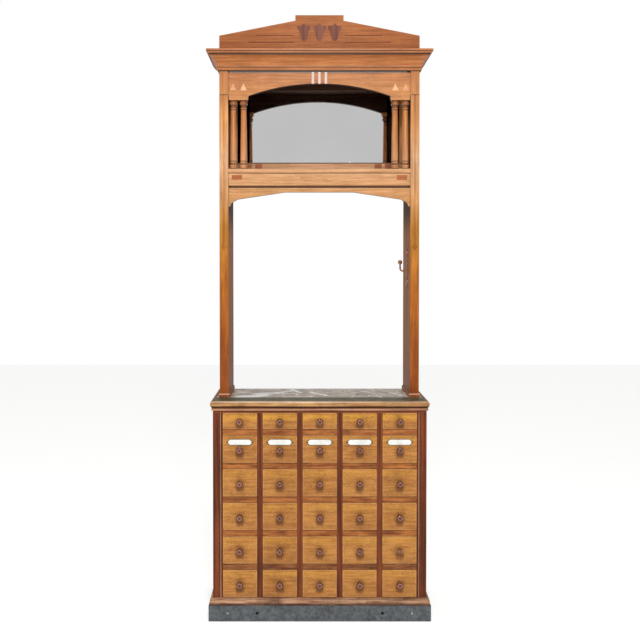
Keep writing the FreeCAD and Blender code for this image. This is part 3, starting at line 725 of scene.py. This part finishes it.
def front_wood(name, half_width, half_height, top_highlight):
    """Honey oak with what use has left on it, a painted shadow under the knob, a painted highlight band below
    the top edge and painted shade towards the bottom; the UV map holds metres from the front's centre.
    """
    material, tree, shader = new_material(name, coat=0.04, coat_roughness=0.3)
    grain = grained(tree, "x", (0.53, 0.240, 0.060, 1), (0.32, 0.122, 0.028, 1), 0.12, 0.8, 0.45, shorter=4.0)
    colour = grain.outputs["Colour"]
    uv = put(tree, "ShaderNodeUVMap", uv_map="face")
    parts = put(tree, "ShaderNodeSeparateXYZ", {"Vector": uv.outputs["UV"]})
    across, up = parts.outputs["X"], parts.outputs["Y"]
    place = place_of(tree)
    drift = less(tree, cloud(tree, place, 30.0, 4.0, 0.65), 0.5)

    flecks = cloud(tree, stretch(tree, place, (1.0, 1.0, 1.7)), 170.0, 4.0, 0.7)
    colour = blend_colour(tree, fit(tree, flecks, 0.50, 0.70, 0.0, 0.55), colour, (0.27, 0.095, 0.022, 1))
    colour = blend_colour(tree, fit(tree, flecks, 0.30, 0.48, 0.50, 0.0), colour, (0.72, 0.36, 0.11, 1))

    halo_y = product(tree, total(tree, up, 0.010), 0.72)
    reach = total(tree, apart(tree, across, halo_y), product(tree, drift, 0.022))
    halo = fit(tree, reach, 0.009, 0.030, 0.45, 0.0)
    colour = blend_colour(tree, halo, colour, (0.20, 0.066, 0.018, 1))
    # Two dark lobes under the knob are a painted shadow of the knob.
    knob_shadow_y = product(tree, total(tree, up, 0.021), 0.62)
    lobe_x = less(tree, maths(tree, "ABSOLUTE", across), 0.0065)
    reach = total(tree, apart(tree, lobe_x, knob_shadow_y), product(tree, drift, 0.010))
    knob_shadow = fit(tree, reach, 0.006, 0.0145, 0.55, 0.0)
    colour = blend_colour(tree, knob_shadow, colour, (0.10, 0.030, 0.010, 1))

    from_side = less(tree, half_width, maths(tree, "ABSOLUTE", across))
    from_end = less(tree, half_height, maths(tree, "ABSOLUTE", up))
    from_edge = maths(tree, "MINIMUM", from_side, from_end)
    ragged = total(tree, from_edge, product(tree, drift, 0.006))
    rubbed = fit(tree, ragged, 0.0018, 0.0060, 0.32, 0.0)
    colour = blend_colour(tree, rubbed, colour, (0.68, 0.38, 0.14, 1))
    arris = fit(tree, from_edge, 0.0006, 0.0016, 0.75, 0.0)
    colour = blend_colour(tree, arris, colour, (0.16, 0.055, 0.018, 1))
    # A paler band below the top edge is a painted highlight, stronger on the low fronts.
    from_top = less(tree, half_height, up)
    band = product(tree, fit(tree, from_top, 0.004, 0.012), fit(tree, from_top, 0.018, 0.040, 1.0, 0.0))
    band = product(tree, band, fit(tree, drift, -0.2, 0.2, 0.3, 1.0))
    colour = blend_colour(tree, product(tree, band, top_highlight), colour, (0.72, 0.36, 0.045, 1))
    low_shade = fit(tree, up, -half_height, -half_height * 0.2, 0.28, 0.0)
    colour = blend_colour(tree, low_shade, colour, (0.34, 0.145, 0.050, 1))

    knocks = cloud(tree, stretch(tree, place, (60.0, 60.0, 90.0)), 1.0, 2.0, 0.5, 1.0)
    knocks = fit(tree, knocks, 0.70, 0.78, 0.0, 0.6)
    colour = blend_colour(tree, knocks, colour, (0.16, 0.055, 0.018, 1))
    colour = with_grime(tree, colour, (0.10, 0.040, 0.014, 1), 0.35, 26.0)
    relief = less(tree, grain.outputs["Height"], product(tree, knocks, 1.5))
    dress(tree, shader, colour, fit(tree, grain.outputs["Fibre"], 0.3, 0.7, 0.36, 0.52), relief, 0.0007)
    return material


def front_board(name, low, high, ease):
    """A drawer front: its face edges rounded over, and a UV map in metres from the middle of its face."""
    bm = bmesh.new()
    bmesh.ops.create_cube(bm, size=1.0)
    size = high - low
    middle = (low + high) / 2
    for vertex in bm.verts:
        vertex.co = middle + Vector([vertex.co[i] * size[i] for i in range(3)])
    face_edges = [e for e in bm.edges if all(abs(v.co.y - low.y) < 1e-6 for v in e.verts)]
    bmesh.ops.bevel(bm, geom=face_edges, offset=ease, segments=4, profile=0.5, affect="EDGES")
    smooth_by_angle(bm)
    bm.faces.ensure_lookup_table()
    board_layer = bm.faces.layers.float.new("board")
    uv_layer = bm.loops.layers.uv.new("face")
    own = DICE.random()
    for face in bm.faces:
        face[board_layer] = own
        for loop in face.loops:
            loop[uv_layer].uv = (loop.vert.co.x - middle.x, loop.vert.co.z - middle.z)
    return mesh_from(bm, name)


def row_tree(name, inputs):
    """A tree that sets out like things in a row; returns it and its input node."""
    tree = bpy.data.node_groups.new(name, "GeometryNodeTree")
    shared = (("Geometry", "Geometry"), ("Count", "Int"), ("First", "Vector"), ("Finish", "Material"))
    for socket, kind in shared + inputs:
        tree.interface.new_socket(socket, in_out="INPUT", socket_type="NodeSocket" + kind)
    tree.interface.new_socket("Geometry", in_out="OUTPUT", socket_type="NodeSocketGeometry")
    return tree, tree.nodes.new("NodeGroupInput")


def close_row(tree, start, thing, offset, smooth):
    """Stands the thing at each place of the row and gives it its finish."""
    row = put(tree, "GeometryNodeMeshLine", {"Count": start.outputs["Count"],
                                             "Start Location": start.outputs["First"], "Offset": offset})
    things = put(tree, "GeometryNodeInstanceOnPoints", {"Points": row.outputs["Mesh"], "Instance": thing})
    real = put(tree, "GeometryNodeRealizeInstances", {"Geometry": things.outputs["Instances"]})
    shape = real.outputs["Geometry"]
    if smooth:
        shape = put(tree, "GeometryNodeSetShadeSmooth", {"Geometry": shape}).outputs["Geometry"]
    finished = put(tree, "GeometryNodeSetMaterial", {"Geometry": shape, "Material": start.outputs["Finish"]})
    end = tree.nodes.new("NodeGroupOutput")
    tree.links.new(finished.outputs["Geometry"], end.inputs["Geometry"])
    return tree


def nail_tree():
    """Small domed nails in a row: how many, how far apart, how wide, and where the first one stands."""
    tree, start = row_tree("nail_row", (("Spacing", "Vector"), ("Head Radius", "Float")))
    head = put(tree, "GeometryNodeMeshUVSphere", {"Segments": 14, "Rings": 8,
                                                  "Radius": start.outputs["Head Radius"]})
    flat = put(tree, "GeometryNodeTransform", {"Geometry": head.outputs["Mesh"], "Scale": (1.0, 0.55, 1.0)})
    return close_row(tree, start, flat.outputs["Geometry"], start.outputs["Spacing"], smooth=True)


def grown(name, tree, values):
    """Runs a Geometry Nodes tree with named values and returns the plain mesh object it makes."""
    seed = new_piece(name + "_seed", bpy.data.meshes.new(name + "_seed"), [])
    modifier = seed.modifiers.new("grow", "NODES")
    modifier.node_group = tree
    sockets = {item.name: item.identifier for item in tree.interface.items_tree if item.in_out == "INPUT"}
    for socket, value in values.items():
        modifier[sockets[socket]] = value
    bpy.context.view_layer.update()
    depsgraph = bpy.context.evaluated_depsgraph_get()
    mesh = bpy.data.meshes.new_from_object(seed.evaluated_get(depsgraph), depsgraph=depsgraph)
    mesh.name = name
    bpy.data.objects.remove(seed)
    return new_piece(name, mesh, [])


def plain_metal(name, colour, spots, roughness, metallic):
    material, tree, shader = new_material(name, metallic=metallic)
    place = place_of(tree)
    blotch = cloud(tree, place, 240.0, 4.0, 0.6)
    mixed = blend_colour(tree, fit(tree, blotch, 0.35, 0.7), colour, spots)
    dress(tree, shader, mixed, fit(tree, blotch, 0.3, 0.7, *roughness), blotch, 0.0002)
    return material


def label_shape(name, centre, half_length, half_height, thick, dome):
    """An enamelled plate, slightly domed, with hollowed corners; the rim and face are two materials."""
    nick = 0.005
    outline = []
    for sx, sz in ((1, -1), (1, 1), (-1, 1), (-1, -1)):
        arc = []
        for step in range(7):
            angle = math.radians(90 * step / 6)
            x = sx * (half_length - nick * math.sin(angle))
            arc.append((x, sz * (half_height - nick * math.cos(angle))))
        outline += arc[::-1] if sx * sz < 0 else arc
    bm = bmesh.new()

    def ring(share_inset, forward):
        made = []
        for x, z in outline:
            px = x - math.copysign(min(share_inset, abs(x)), x)
            pz = z - math.copysign(min(share_inset, abs(z)), z)
            made.append(bm.verts.new((centre.x + px, centre.y - forward, centre.z + pz)))
        return made

    rings = [ring(0.0, 0.0), ring(0.0, thick * 0.6), ring(0.0007, thick), ring(0.0018, thick),
             ring(0.004, thick + dome * 0.6), ring(0.008, thick + dome)]
    count = len(outline)
    for number, (low, high) in enumerate(zip(rings, rings[1:])):
        for step in range(count):
            nxt = (step + 1) % count
            face = bm.faces.new([low[step], low[nxt], high[nxt], high[step]])
            face.material_index = 0 if number >= 3 else 1
    bm.faces.new(rings[-1])
    back = bm.faces.new(rings[0][::-1])
    back.material_index = 1
    bmesh.ops.recalc_face_normals(bm, faces=bm.faces)
    smooth_by_angle(bm, math.radians(45))
    return mesh_from(bm, name)


def enamel_paint():
    material, tree, shader = new_material("white_enamel", roughness=0.16, coat=0.5, coat_roughness=0.05)
    place = place_of(tree)
    yellowed = cloud(tree, place, 40.0, 3.0, 0.6)
    chips = cloud(tree, place, 300.0, 3.0, 0.6)
    colour = blend_colour(tree, fit(tree, yellowed, 0.35, 0.7), (0.78, 0.80, 0.78, 1), (0.68, 0.69, 0.64, 1))
    colour = blend_colour(tree, fit(tree, chips, 0.74, 0.80, 0.0, 0.7), colour, (0.10, 0.09, 0.08, 1))
    dress(tree, shader, colour, fit(tree, chips, 0.5, 0.8, 0.12, 0.3), chips, 0.0001)
    return material


KNOB_WOOD = knob_wood()
ENAMEL = enamel_paint()
ENAMEL_RIM = plain_metal("label_rim", (0.045, 0.042, 0.040, 1), (0.10, 0.07, 0.05, 1), (0.3, 0.5), 0.0)
DARK_IRON = plain_metal("dark_iron_pins", (0.035, 0.030, 0.026, 1), (0.10, 0.055, 0.03, 1), (0.4, 0.65), 0.6)
NAILS = nail_tree()
FRONT_EASE = 0.0016
LOW_HALF = 0.0328
TALL_HALF = 0.0548
FRONT_HALF = 0.0678
LOW_FRONT = front_wood("honey_oak_low_front", FRONT_HALF, LOW_HALF, 0.70)
TALL_FRONT = front_wood("honey_oak_front", FRONT_HALF, TALL_HALF, 0.28)
ROWS = 6
COLUMNS = 5
LABEL_ROW = 2
BOX_BOARDS = range(1, 5)            # places of a drawer's box boards among its solids
KNOB_PLACE = 5
PLATE_PLACE = 6
PIN_PLACE = 7
KNOB_END = KNOB_PROFILE[11][0]      # the share of its profile's length at which a knob is longest
SUNK = 0.0002                       # a knob and an old nail reach this far into the front
PLATE_THICK = 0.0012
PLATE_DOME = 0.0005
PIN_HEAD = 0.0026
PIN_PROUD = 0.0006
NAIL_HEAD = 0.0015
NAIL_REACH = 0.047                  # old label nails, from the middle of the front
NAIL_SPREAD = 0.004
NAIL_TILT = 0.003
NAIL_DROP = {True: 0.014, False: 0.024}     # under the top of a low front, and of a tall one


def is_box_board(number, middle, size):
    return number in BOX_BOARDS


for row in range(1, ROWS + 1):
    for column in range(1, COLUMNS + 1):
        drawer = "drawer_%d_%d" % (row, column)
        solids = closed_solids(drawer)
        spans = [middle_of(faces) for faces in solids]
        front_middle, front_size = spans[0]
        knob_middle, knob_size = spans[KNOB_PLACE]
        front_low, front_high = front_middle - front_size / 2, front_middle + front_size / 2
        board = front_board(drawer + "_front", front_low, front_high, FRONT_EASE)
        wood = LOW_FRONT if row == 1 else TALL_FRONT
        front = new_piece(drawer + "_front", board, [wood])
        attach(front, drawer)
        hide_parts(drawer)

        eased(drawer, drawer + "_box", bare_wood, 0.0008, pick=is_box_board, worn=bare_edge, body=drawer,
              replaces=False)

        knob_length = front_low.y - (knob_middle.y - knob_size.y / 2)
        seat = Vector((knob_middle.x, front_low.y + SUNK, knob_middle.z))
        knob_mesh = turned(drawer + "_knob", KNOB_PROFILE, seat, (0, -1, 0), knob_length / KNOB_END + SUNK,
                           knob_size.x / 2)
        tell_board(knob_mesh, [DICE.random()] * len(knob_mesh.polygons))
        tell_wear_and_highlight(knob_mesh, seat, knob_length, knob_size.x / 2)
        knob = new_piece(drawer + "_knob", knob_mesh, [KNOB_WOOD])
        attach(knob, drawer)

        if row == LABEL_ROW:
            plate_middle, plate_size = spans[PLATE_PLACE]
            plate_seat = Vector((plate_middle.x, front_low.y, plate_middle.z))
            plate_mesh = label_shape(drawer + "_label", plate_seat, plate_size.x / 2, plate_size.z / 2,
                                     PLATE_THICK, PLATE_DOME)
            plate = new_piece(drawer + "_label", plate_mesh, [ENAMEL, ENAMEL_RIM])
            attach(plate, drawer)
            gap = abs(spans[PIN_PLACE][0].x - plate_middle.x)
            pins = grown(drawer + "_label_pins", NAILS,
                         {"Count": 2, "Spacing": (2 * gap, 0.0, 0.0),
                          "First": (plate_middle.x - gap, front_low.y - PIN_PROUD, plate_middle.z),
                          "Head Radius": PIN_HEAD, "Finish": DARK_IRON})
        else:
            gap = NAIL_REACH + NAIL_SPREAD * DICE.random()
            tilt = NAIL_TILT * (DICE.random() - 0.5)
            height = front_high.z - NAIL_DROP[row == 1]
            pins = grown(drawer + "_old_nails", NAILS,
                         {"Count": 2, "Spacing": (2 * gap, 0.0, tilt),
                          "First": (front_middle.x - gap, front_low.y + SUNK, height),
                          "Head Radius": NAIL_HEAD, "Finish": DARK_IRON})
        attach(pins, drawer)


# ---- Posts ---------------------------------------------------------------------------------------------
# Two oak slabs that stand on moulded feet. Their colour runs from orange low down to a pale pinkish gold
# near the top, partly the varnish's own fading and partly a painted sheen of light from above. A stopped
# groove runs down each front face.
UPPER_FOOT = 0.85           # the colours below run between these heights, as shares of the way up
UPPER_CROWN = 2.25
UPPER_LIGHT = [(0.0, (0.38, 0.096, 0.014)), (0.25, (0.46, 0.148, 0.017)), (0.50, (0.53, 0.232, 0.036)),
               (0.78, (0.70, 0.405, 0.225)), (0.90, (0.72, 0.360, 0.130)), (1.0, (0.47, 0.178, 0.060))]
UPPER_DARK = [(0.0, (0.18, 0.040, 0.006)), (0.25, (0.26, 0.074, 0.009)), (0.50, (0.34, 0.130, 0.017)),
              (0.78, (0.46, 0.235, 0.115)), (0.90, (0.48, 0.205, 0.062)), (1.0, (0.30, 0.098, 0.030))]


def upper_oak(name, axis, roughness=(0.36, 0.48), dirt=0.22, coat=0.08, lift=0.0, figure=0.10, specular=0.10,
              lines=(), shorter=2.6, tint=(1.0, 1.0, 1.0)):
    """Oak whose colour pales with height; lift lightens it where it is rubbed, and tint deepens it.

    lines are heights painted darker along a line, mostly painted shade under mouldings, in hollows and between
    parts, and on the posts a dark joint: (middle, half thickness, share of darkening).
    """
    material, tree, shader = new_material(name, coat=coat, coat_roughness=0.3, specular=specular)
    height = put(tree, "ShaderNodeSeparateXYZ", {"Vector": place_of(tree)}).outputs["Z"]

    def by_height(stops):
        ramp = put(tree, "ShaderNodeValToRGB", {"Fac": fit(tree, height, UPPER_FOOT, UPPER_CROWN)})
        while len(ramp.color_ramp.elements) < len(stops):
            ramp.color_ramp.elements.new(0.5)
        for element, (spot, colour) in zip(ramp.color_ramp.elements, stops):
            element.position = spot
            element.color = [t * (c + lift * (1 - c)) for c, t in zip(colour, tint)] + [1.0]
        return ramp.outputs["Color"]

    light = by_height(UPPER_LIGHT)
    dark = by_height(UPPER_DARK)
    grain = grained(tree, axis, light, dark, figure, 0.4, 0.12, shorter)
    colour = with_grime(tree, grain.outputs["Colour"], (0.10, 0.040, 0.018, 1), dirt)
    # Each line is painted darker: mostly painted shade, and on the posts a dark joint.
    for middle, half, share in lines:
        off = maths(tree, "ABSOLUTE", less(tree, height, middle))
        shade_and_joint_line = fit(tree, off, half * 0.6, half * 1.3, share, 0.0)
        colour = blend_colour(tree, shade_and_joint_line, colour, (0.05, 0.018, 0.008, 1))
    dress(tree, shader, colour, fit(tree, grain.outputs["Fibre"], 0.3, 0.7, *roughness),
          grain.outputs["Height"], 0.0005)
    return material


UPPER = {axis: upper_oak("upper_oak_" + axis, axis) for axis in "xyz"}
UPPER_EDGE = upper_oak("upper_oak_rubbed_edge", "z", lift=0.18, dirt=0.1)


def upper_boards(middle, size):
    return UPPER[longest(size)]


# Inside the niche, on the backs of boards and on their undersides the wood is painted nearly black as
# shade, and left dull and unpolished.
niche_shade = oak_set("niche_shade_paint", (0.060, 0.024, 0.011, 1), (0.022, 0.009, 0.005, 1),
                      roughness=(0.6, 0.75), dirt=0.3)
niche_shade_edge = oak("niche_shade_paint_edge", "z", (0.10, 0.042, 0.020, 1), (0.04, 0.016, 0.008, 1),
                 roughness=(0.5, 0.7))


def post_side():
    """The inner face of a post: dull brown, with painted shade behind the apron and under the niche's ceiling.
    """
    material, tree, shader = new_material("post_inner_face", specular=0.02)
    height = put(tree, "ShaderNodeSeparateXYZ", {"Vector": place_of(tree)}).outputs["Z"]
    light, dark = (0.38, 0.170, 0.075, 1), (0.19, 0.072, 0.028, 1)
    # The first and last heights below are painted shade, behind the apron and near the niche's ceiling.
    for low, high, paler, deeper in (
            (1.50, 1.64, (0.085, 0.030, 0.012, 1), (0.030, 0.011, 0.005, 1)),       # behind the apron
            (1.735, 1.79, (0.30, 0.130, 0.050, 1), (0.14, 0.052, 0.018, 1)),        # in the niche
            (1.95, 2.02, (0.070, 0.028, 0.012, 1), (0.025, 0.010, 0.005, 1))):      # near its ceiling
        there = fit(tree, height, low, high)
        light = blend_colour(tree, there, light, paler)
        dark = blend_colour(tree, there, dark, deeper)
    grain = grained(tree, "z", light, dark, 0.3, 0.4, 0.1)
    dress(tree, shader, grain.outputs["Colour"], fit(tree, grain.outputs["Fibre"], 0.3, 0.7, 0.36, 0.52),
          grain.outputs["Height"], 0.0005)
    return material


POST_SIDE = post_side()
POST_INNER = 0.37           # the inner faces lie nearer the middle than this
FOOT_FRONT = -0.05


def post_faces(centre, normal):
    faces_in = normal.x * centre.x < 0 and abs(normal.x) > 0.9
    return POST_SIDE if faces_in and abs(centre.x) < POST_INNER else None


# Backs and undersides of boards are painted near black as shade.
def shaded_back(centre, normal):
    return niche_shade(centre, Vector((1, 0, 0))) if normal.y > 0.5 or normal.z < -0.5 else None


post_oak = upper_oak("post_oak", "z", lines=((2.083, 0.0012, 0.9),))
eased("posts", "post_slabs", all_of(post_oak), 0.0010, repaint=post_faces)
foot_oak = oak_set("foot_oak", (0.36, 0.115, 0.034, 1), (0.17, 0.045, 0.014, 1), dirt=0.5)
foot_wear_and_highlight = oak("foot_oak_worn_and_highlight", "x", (0.70, 0.44, 0.30, 1), (0.44, 0.22, 0.13, 1), dirt=0.2)


# Upward front faces of the feet are painted pale, partly wear and partly a painted highlight.
def foot_front(centre, normal):
    return foot_wear_and_highlight if normal.z > 0.15 and centre.y < FOOT_FRONT else None


eased("post_feet", "post_foot_blocks", foot_oak, 0.0010, repaint=foot_front)

# ---- Apron, frieze and shelf ---------------------------------------------------------------------------
# The boards that tie the posts together: a shaped apron, a rail with inlaid blocks, and the shelf with its
# rounded front edge. Rebates between them read as dark lines.
eased("apron", "apron_board", upper_boards, 0.0012, worn=UPPER_EDGE, repaint=shaded_back)
# The frieze's two dark lines are painted shade in the rebates.
frieze_oak = upper_oak("frieze_oak", "x", lines=((1.7135, 0.0060, 0.92), (1.7702, 0.0022, 0.85)))
eased("frieze_rail", "frieze_board", all_of(frieze_oak), 0.0008)
eased("shelf_board", "shelf", upper_boards, 0.0008, worn=UPPER_EDGE)

# ---- Mirror --------------------------------------------------------------------------------------------
# Silvered glass, a little grey with age, foxed near its edges and black along both sides, held in a frame
# with a deep bottom rail.
mirror_low, mirror_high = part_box("mirror_plate")


def old_mirror():
    material, tree, shader = new_material("old_mirror", roughness=0.03, metallic=1.0)
    place = place_of(tree)
    parts = put(tree, "ShaderNodeSeparateXYZ", {"Vector": place})
    half = (mirror_high.x - mirror_low.x) / 2
    from_side = less(tree, half, maths(tree, "ABSOLUTE", parts.outputs["X"]))
    from_foot = less(tree, parts.outputs["Z"], mirror_low.z + 0.041)
    from_edge = maths(tree, "MINIMUM", from_side, from_foot)
    spots = cloud(tree, place, 130.0, 4.0, 0.7)
    foxing = product(tree, fit(tree, spots, 0.60, 0.72), fit(tree, from_edge, 0.004, 0.045, 0.5, 0.0))
    haze = cloud(tree, place, 5.0, 3.0)
    colour = blend_colour(tree, fit(tree, haze, 0.3, 0.7), (0.95, 0.95, 0.95, 1), (0.98, 0.98, 0.98, 1))
    colour = blend_colour(tree, foxing, colour, (0.14, 0.12, 0.10, 1))
    black_sides = fit(tree, from_side, 0.066, 0.074, 1.0, 0.0)
    colour = blend_colour(tree, black_sides, colour, (0.016, 0.010, 0.007, 1))
    dress(tree, shader, colour, fit(tree, foxing, 0.0, 0.5, 0.025, 0.4))
    return material


silver = old_mirror()
eased("mirror_plate", "mirror_glass", all_of(silver), 0.0)

SURROUND_RAIL_TOP = 1.85
# The dark line on the bottom rail is painted shade, and the stiles are painted darker towards the top as shade
# under the ceiling.
surround_rail = upper_oak("surround_rail", "x", lines=((1.8335, 0.0030, 0.9),))
surround_stile = upper_oak("surround_stile", "z", lines=((2.16, 0.06, 0.8),))


def surround_finish(middle, size):
    if middle.z < SURROUND_RAIL_TOP:
        return surround_rail
    # The top rail is painted near black as shade.
    return surround_stile if size.z > size.x else niche_shade(middle, size)


eased("mirror_frame", "mirror_surround", surround_finish, 0.0012)

# ---- Columns -------------------------------------------------------------------------------------------
# Four columns turned between centres: a ringed base, a shaft that swells downwards, a neck ring, and a
# squashed ball under a disc.
COLUMN_PROFILE = [(0.000, 0.88), (0.004, 0.95), (0.015, 0.99), (0.025, 0.95), (0.030, 0.88), (0.034, 0.93),
                  (0.048, 1.00), (0.060, 0.94), (0.066, 0.84), (0.074, 0.76), (0.078, 0.82), (0.088, 0.92),
                  (0.097, 0.82), (0.102, 0.86), (0.120, 0.855), (0.300, 0.82), (0.550, 0.755), (0.760, 0.70),
                  (0.872, 0.665), (0.878, 0.74), (0.887, 0.81), (0.896, 0.74), (0.902, 0.64), (0.912, 0.66),
                  (0.925, 0.86), (0.942, 0.99), (0.955, 1.00), (0.968, 0.96), (0.982, 0.80), (0.986, 0.74),
                  (0.988, 0.92), (0.991, 0.95), (1.000, 0.94), (1.000, 0.0)]
# The dark rings are painted shade in the hollows of the turning, and a band over the ball is painted darker as
# shade.
column_wood = upper_oak("turned_oak", "z", coat=0.6, roughness=(0.28, 0.38), figure=0.3,
                        tint=(0.78, 0.62, 0.48),
                        lines=((1.7885, 0.0020, 0.8), (1.8060, 0.0026, 0.8), (1.8180, 0.0022, 0.7),
                               (2.0345, 0.0040, 0.6), (2.0250, 0.0022, 0.8), (2.0410, 0.0032, 0.85),
                               (2.0520, 0.0085, 0.40), (2.0600, 0.0018, 0.8)))
column_low, column_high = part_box("columns")
for number, faces in enumerate(closed_solids("columns")):
    middle, size = middle_of(faces)
    foot = Vector((middle.x, middle.y, column_low.z))
    name = "column_%d" % (number + 1)
    mesh = turned(name, COLUMN_PROFILE, foot, (0, 0, 1), column_high.z - column_low.z, size.x / 2, 48)
    tell_board(mesh, [DICE.random()] * len(mesh.polygons))
    column = new_piece(name, mesh, [column_wood])
    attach(column, "cabinet")
    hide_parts("columns")


# ---- Arched fascia -------------------------------------------------------------------------------------
# A board cut to a shallow arch, with three half-round reeds at its crown and a stepped pad over each pair of
# columns.
# The dark line at the fascia's top is painted shade under the cornice.
fascia_oak = upper_oak("fascia_oak", "x", lines=((2.1735, 0.0024, 0.95),), shorter=3.0)
eased("arch_fascia", "fascia_board", all_of(fascia_oak), 0.0, repaint=shaded_back)


REED_LIMIT = 0.03           # reeds are narrower than this, and pads wider


def is_pad(number, middle, size):
    return size.x > REED_LIMIT


eased("fascia_mouldings", "column_pads", upper_boards, 0.0010, pick=is_pad, worn=UPPER_EDGE)


def reed_tree():
    """Round reeds side by side: how many, how far apart, their radius and length, and where the first is."""
    tree, start = row_tree("reed_row", (("Pitch", "Float"), ("Radius", "Float"), ("Length", "Float")))
    offset = put(tree, "ShaderNodeCombineXYZ", {"X": start.outputs["Pitch"]})
    top = put(tree, "ShaderNodeCombineXYZ", {"Z": start.outputs["Length"]})
    spine = put(tree, "GeometryNodeCurvePrimitiveLine", {"End": top.outputs[0]})
    finer = put(tree, "GeometryNodeResampleCurve", {"Curve": spine.outputs["Curve"], "Count": 12})
    ring = put(tree, "GeometryNodeCurvePrimitiveCircle", {"Resolution": 28, "Radius": start.outputs["Radius"]})
    reed = put(tree, "GeometryNodeCurveToMesh", {"Curve": finer.outputs["Curve"],
                                                 "Profile Curve": ring.outputs["Curve"], "Fill Caps": True})
    return close_row(tree, start, reed.outputs["Mesh"], offset.outputs[0], smooth=False)


# The reeds are lightened as a painted highlight along their round faces.
reed_sheen_wood = upper_oak("reed_oak_painted_sheen", "z", lift=0.38, dirt=0.1, coat=0.5)
reed_spans = [middle_of(faces) for faces in closed_solids("fascia_mouldings")]
reed_spans = sorted([span for span in reed_spans if span[1].x < REED_LIMIT], key=lambda span: span[0].x)
reed_middle, reed_size = reed_spans[0]
reeds = grown("crown_reeds", reed_tree(),
              {"Count": len(reed_spans), "Pitch": reed_spans[1][0].x - reed_middle.x,
               "First": (reed_middle.x, reed_middle.y + reed_size.y / 2, reed_middle.z - reed_size.z / 2),
               "Radius": reed_size.x / 2, "Length": reed_size.z, "Finish": reed_sheen_wood})
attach(reeds, "cabinet")
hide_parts("fascia_mouldings")

# ---- Ceiling, cornice and pediment ---------------------------------------------------------------------
# The niche is closed by a ceiling board, and a dust board closes the top. A hollow cornice goes round three
# sides, and the pediment board stands on its front edge.
# The ceiling and dust board are painted near black as shade.
eased("upper_boards", "ceiling_and_dust_board", niche_shade, 0.0010, worn=niche_shade_edge)
# The dark lines under the cornice's fillets and bead, and below it, are painted shade.
CORNICE_SHADE_LINES = ((2.2380, 0.0036, 0.92), (2.2490, 0.0014, 0.7), (2.1915, 0.0018, 0.8), (2.1790, 0.0016, 0.7))
CORNICE_OAK = {axis: upper_oak("cornice_oak_" + axis, axis, lines=CORNICE_SHADE_LINES) for axis in "xy"}
pediment_oak = upper_oak("pediment_oak", "x", coat=0.02, specular=0.06, tint=(0.80, 0.70, 0.60))
# The cornice's flat underside is painted near black as shade.
soffit_shade_oak = oak("cornice_soffit_shade", "x", (0.050, 0.020, 0.010, 1), (0.020, 0.008, 0.004, 1),
                 roughness=(0.8, 0.9), specular=0.0)
SOFFIT_TOP = 2.179          # the cornice's flat underside lies below this


def cornice_lengths(middle, size):
    return CORNICE_OAK["x" if size.x > size.y else "y"]


def soffit(centre, normal):
    return soffit_shade_oak if normal.z < -0.9 and centre.z < SOFFIT_TOP else None


eased("cornice", "cornice_lengths", cornice_lengths, 0.0, repaint=soffit)
eased("pediment", "pediment_board", all_of(pediment_oak), 0.0014, worn=UPPER_EDGE)


# ---- Inlay ---------------------------------------------------------------------------------------------
# Slips of darker wood let into pediment, frieze and mirror frame, and pale triangles over the columns.
INLAY_WOODS = {
    "dark": ("z", (0.225, 0.090, 0.062, 1), (0.140, 0.052, 0.036, 1)),
    "line": ("x", (0.170, 0.050, 0.028, 1), (0.100, 0.028, 0.016, 1)),
    "red": ("x", (0.42, 0.145, 0.060, 1), (0.28, 0.085, 0.033, 1)),
    "surround": ("x", (0.44, 0.175, 0.090, 1), (0.30, 0.105, 0.050, 1)),
    "pale": ("x", (0.76, 0.44, 0.26, 1), (0.63, 0.33, 0.18, 1)),
    "pink": ("x", (0.66, 0.335, 0.185, 1), (0.55, 0.250, 0.125, 1)),
    "faint": ("x", (0.62, 0.335, 0.165, 1), (0.50, 0.245, 0.110, 1))}
SLIPS = {wood: oak(wood + "_inlay", axis, light, dark, roughness=(0.45, 0.60), dirt=0.15, figure=0.3,
                   pores=0.4, specular=0.06) for wood, (axis, light, dark) in INLAY_WOODS.items()}
FRIEZE_ZONE = (1.72, 1.78)
SURROUND_ZONE = (1.79, 1.84)
TRIANGLE_ZONE = (2.09, 2.14)
OUTER_TRIANGLE = 0.325
MIDDLE_BLOCKS = 0.2
LINE_FROM = 0.1             # in the pediment, longer slips than this are lines


def slip(middle, size):
    if TRIANGLE_ZONE[0] < middle.z < TRIANGLE_ZONE[1]:
        return SLIPS["pink" if abs(middle.x) > OUTER_TRIANGLE else "pale"]
    if FRIEZE_ZONE[0] < middle.z < FRIEZE_ZONE[1]:
        return SLIPS["faint" if abs(middle.x) < MIDDLE_BLOCKS else "red"]
    if SURROUND_ZONE[0] < middle.z < SURROUND_ZONE[1]:
        return SLIPS["surround"]
    return SLIPS["line" if size.x > LINE_FROM else "dark"]


eased("inlays", "inlaid_slips", slip, 0.0)

# ---- Hook ----------------------------------------------------------------------------------------------
# A bronze hook with a black ball on its tip, screwed inside the right post to hang a cloth or a spatula on.
bronze = plain_metal("hook_bronze", (0.20, 0.075, 0.040, 1), (0.46, 0.24, 0.13, 1), (0.25, 0.5), 0.9)
ball_black = plain_metal("ball_black", (0.012, 0.011, 0.011, 1), (0.04, 0.036, 0.032, 1), (0.18, 0.35), 0.0)


BALL_HEIGHT = 0.025         # the ball is lower than this, and wider than the screws
BALL_WIDTH = 0.012


def hook_finish(middle, size):
    is_ball = size.z < BALL_HEIGHT and size.x > BALL_WIDTH
    return ball_black if is_ball else bronze


eased("wall_hook", "post_hook", hook_finish, 0.0007)
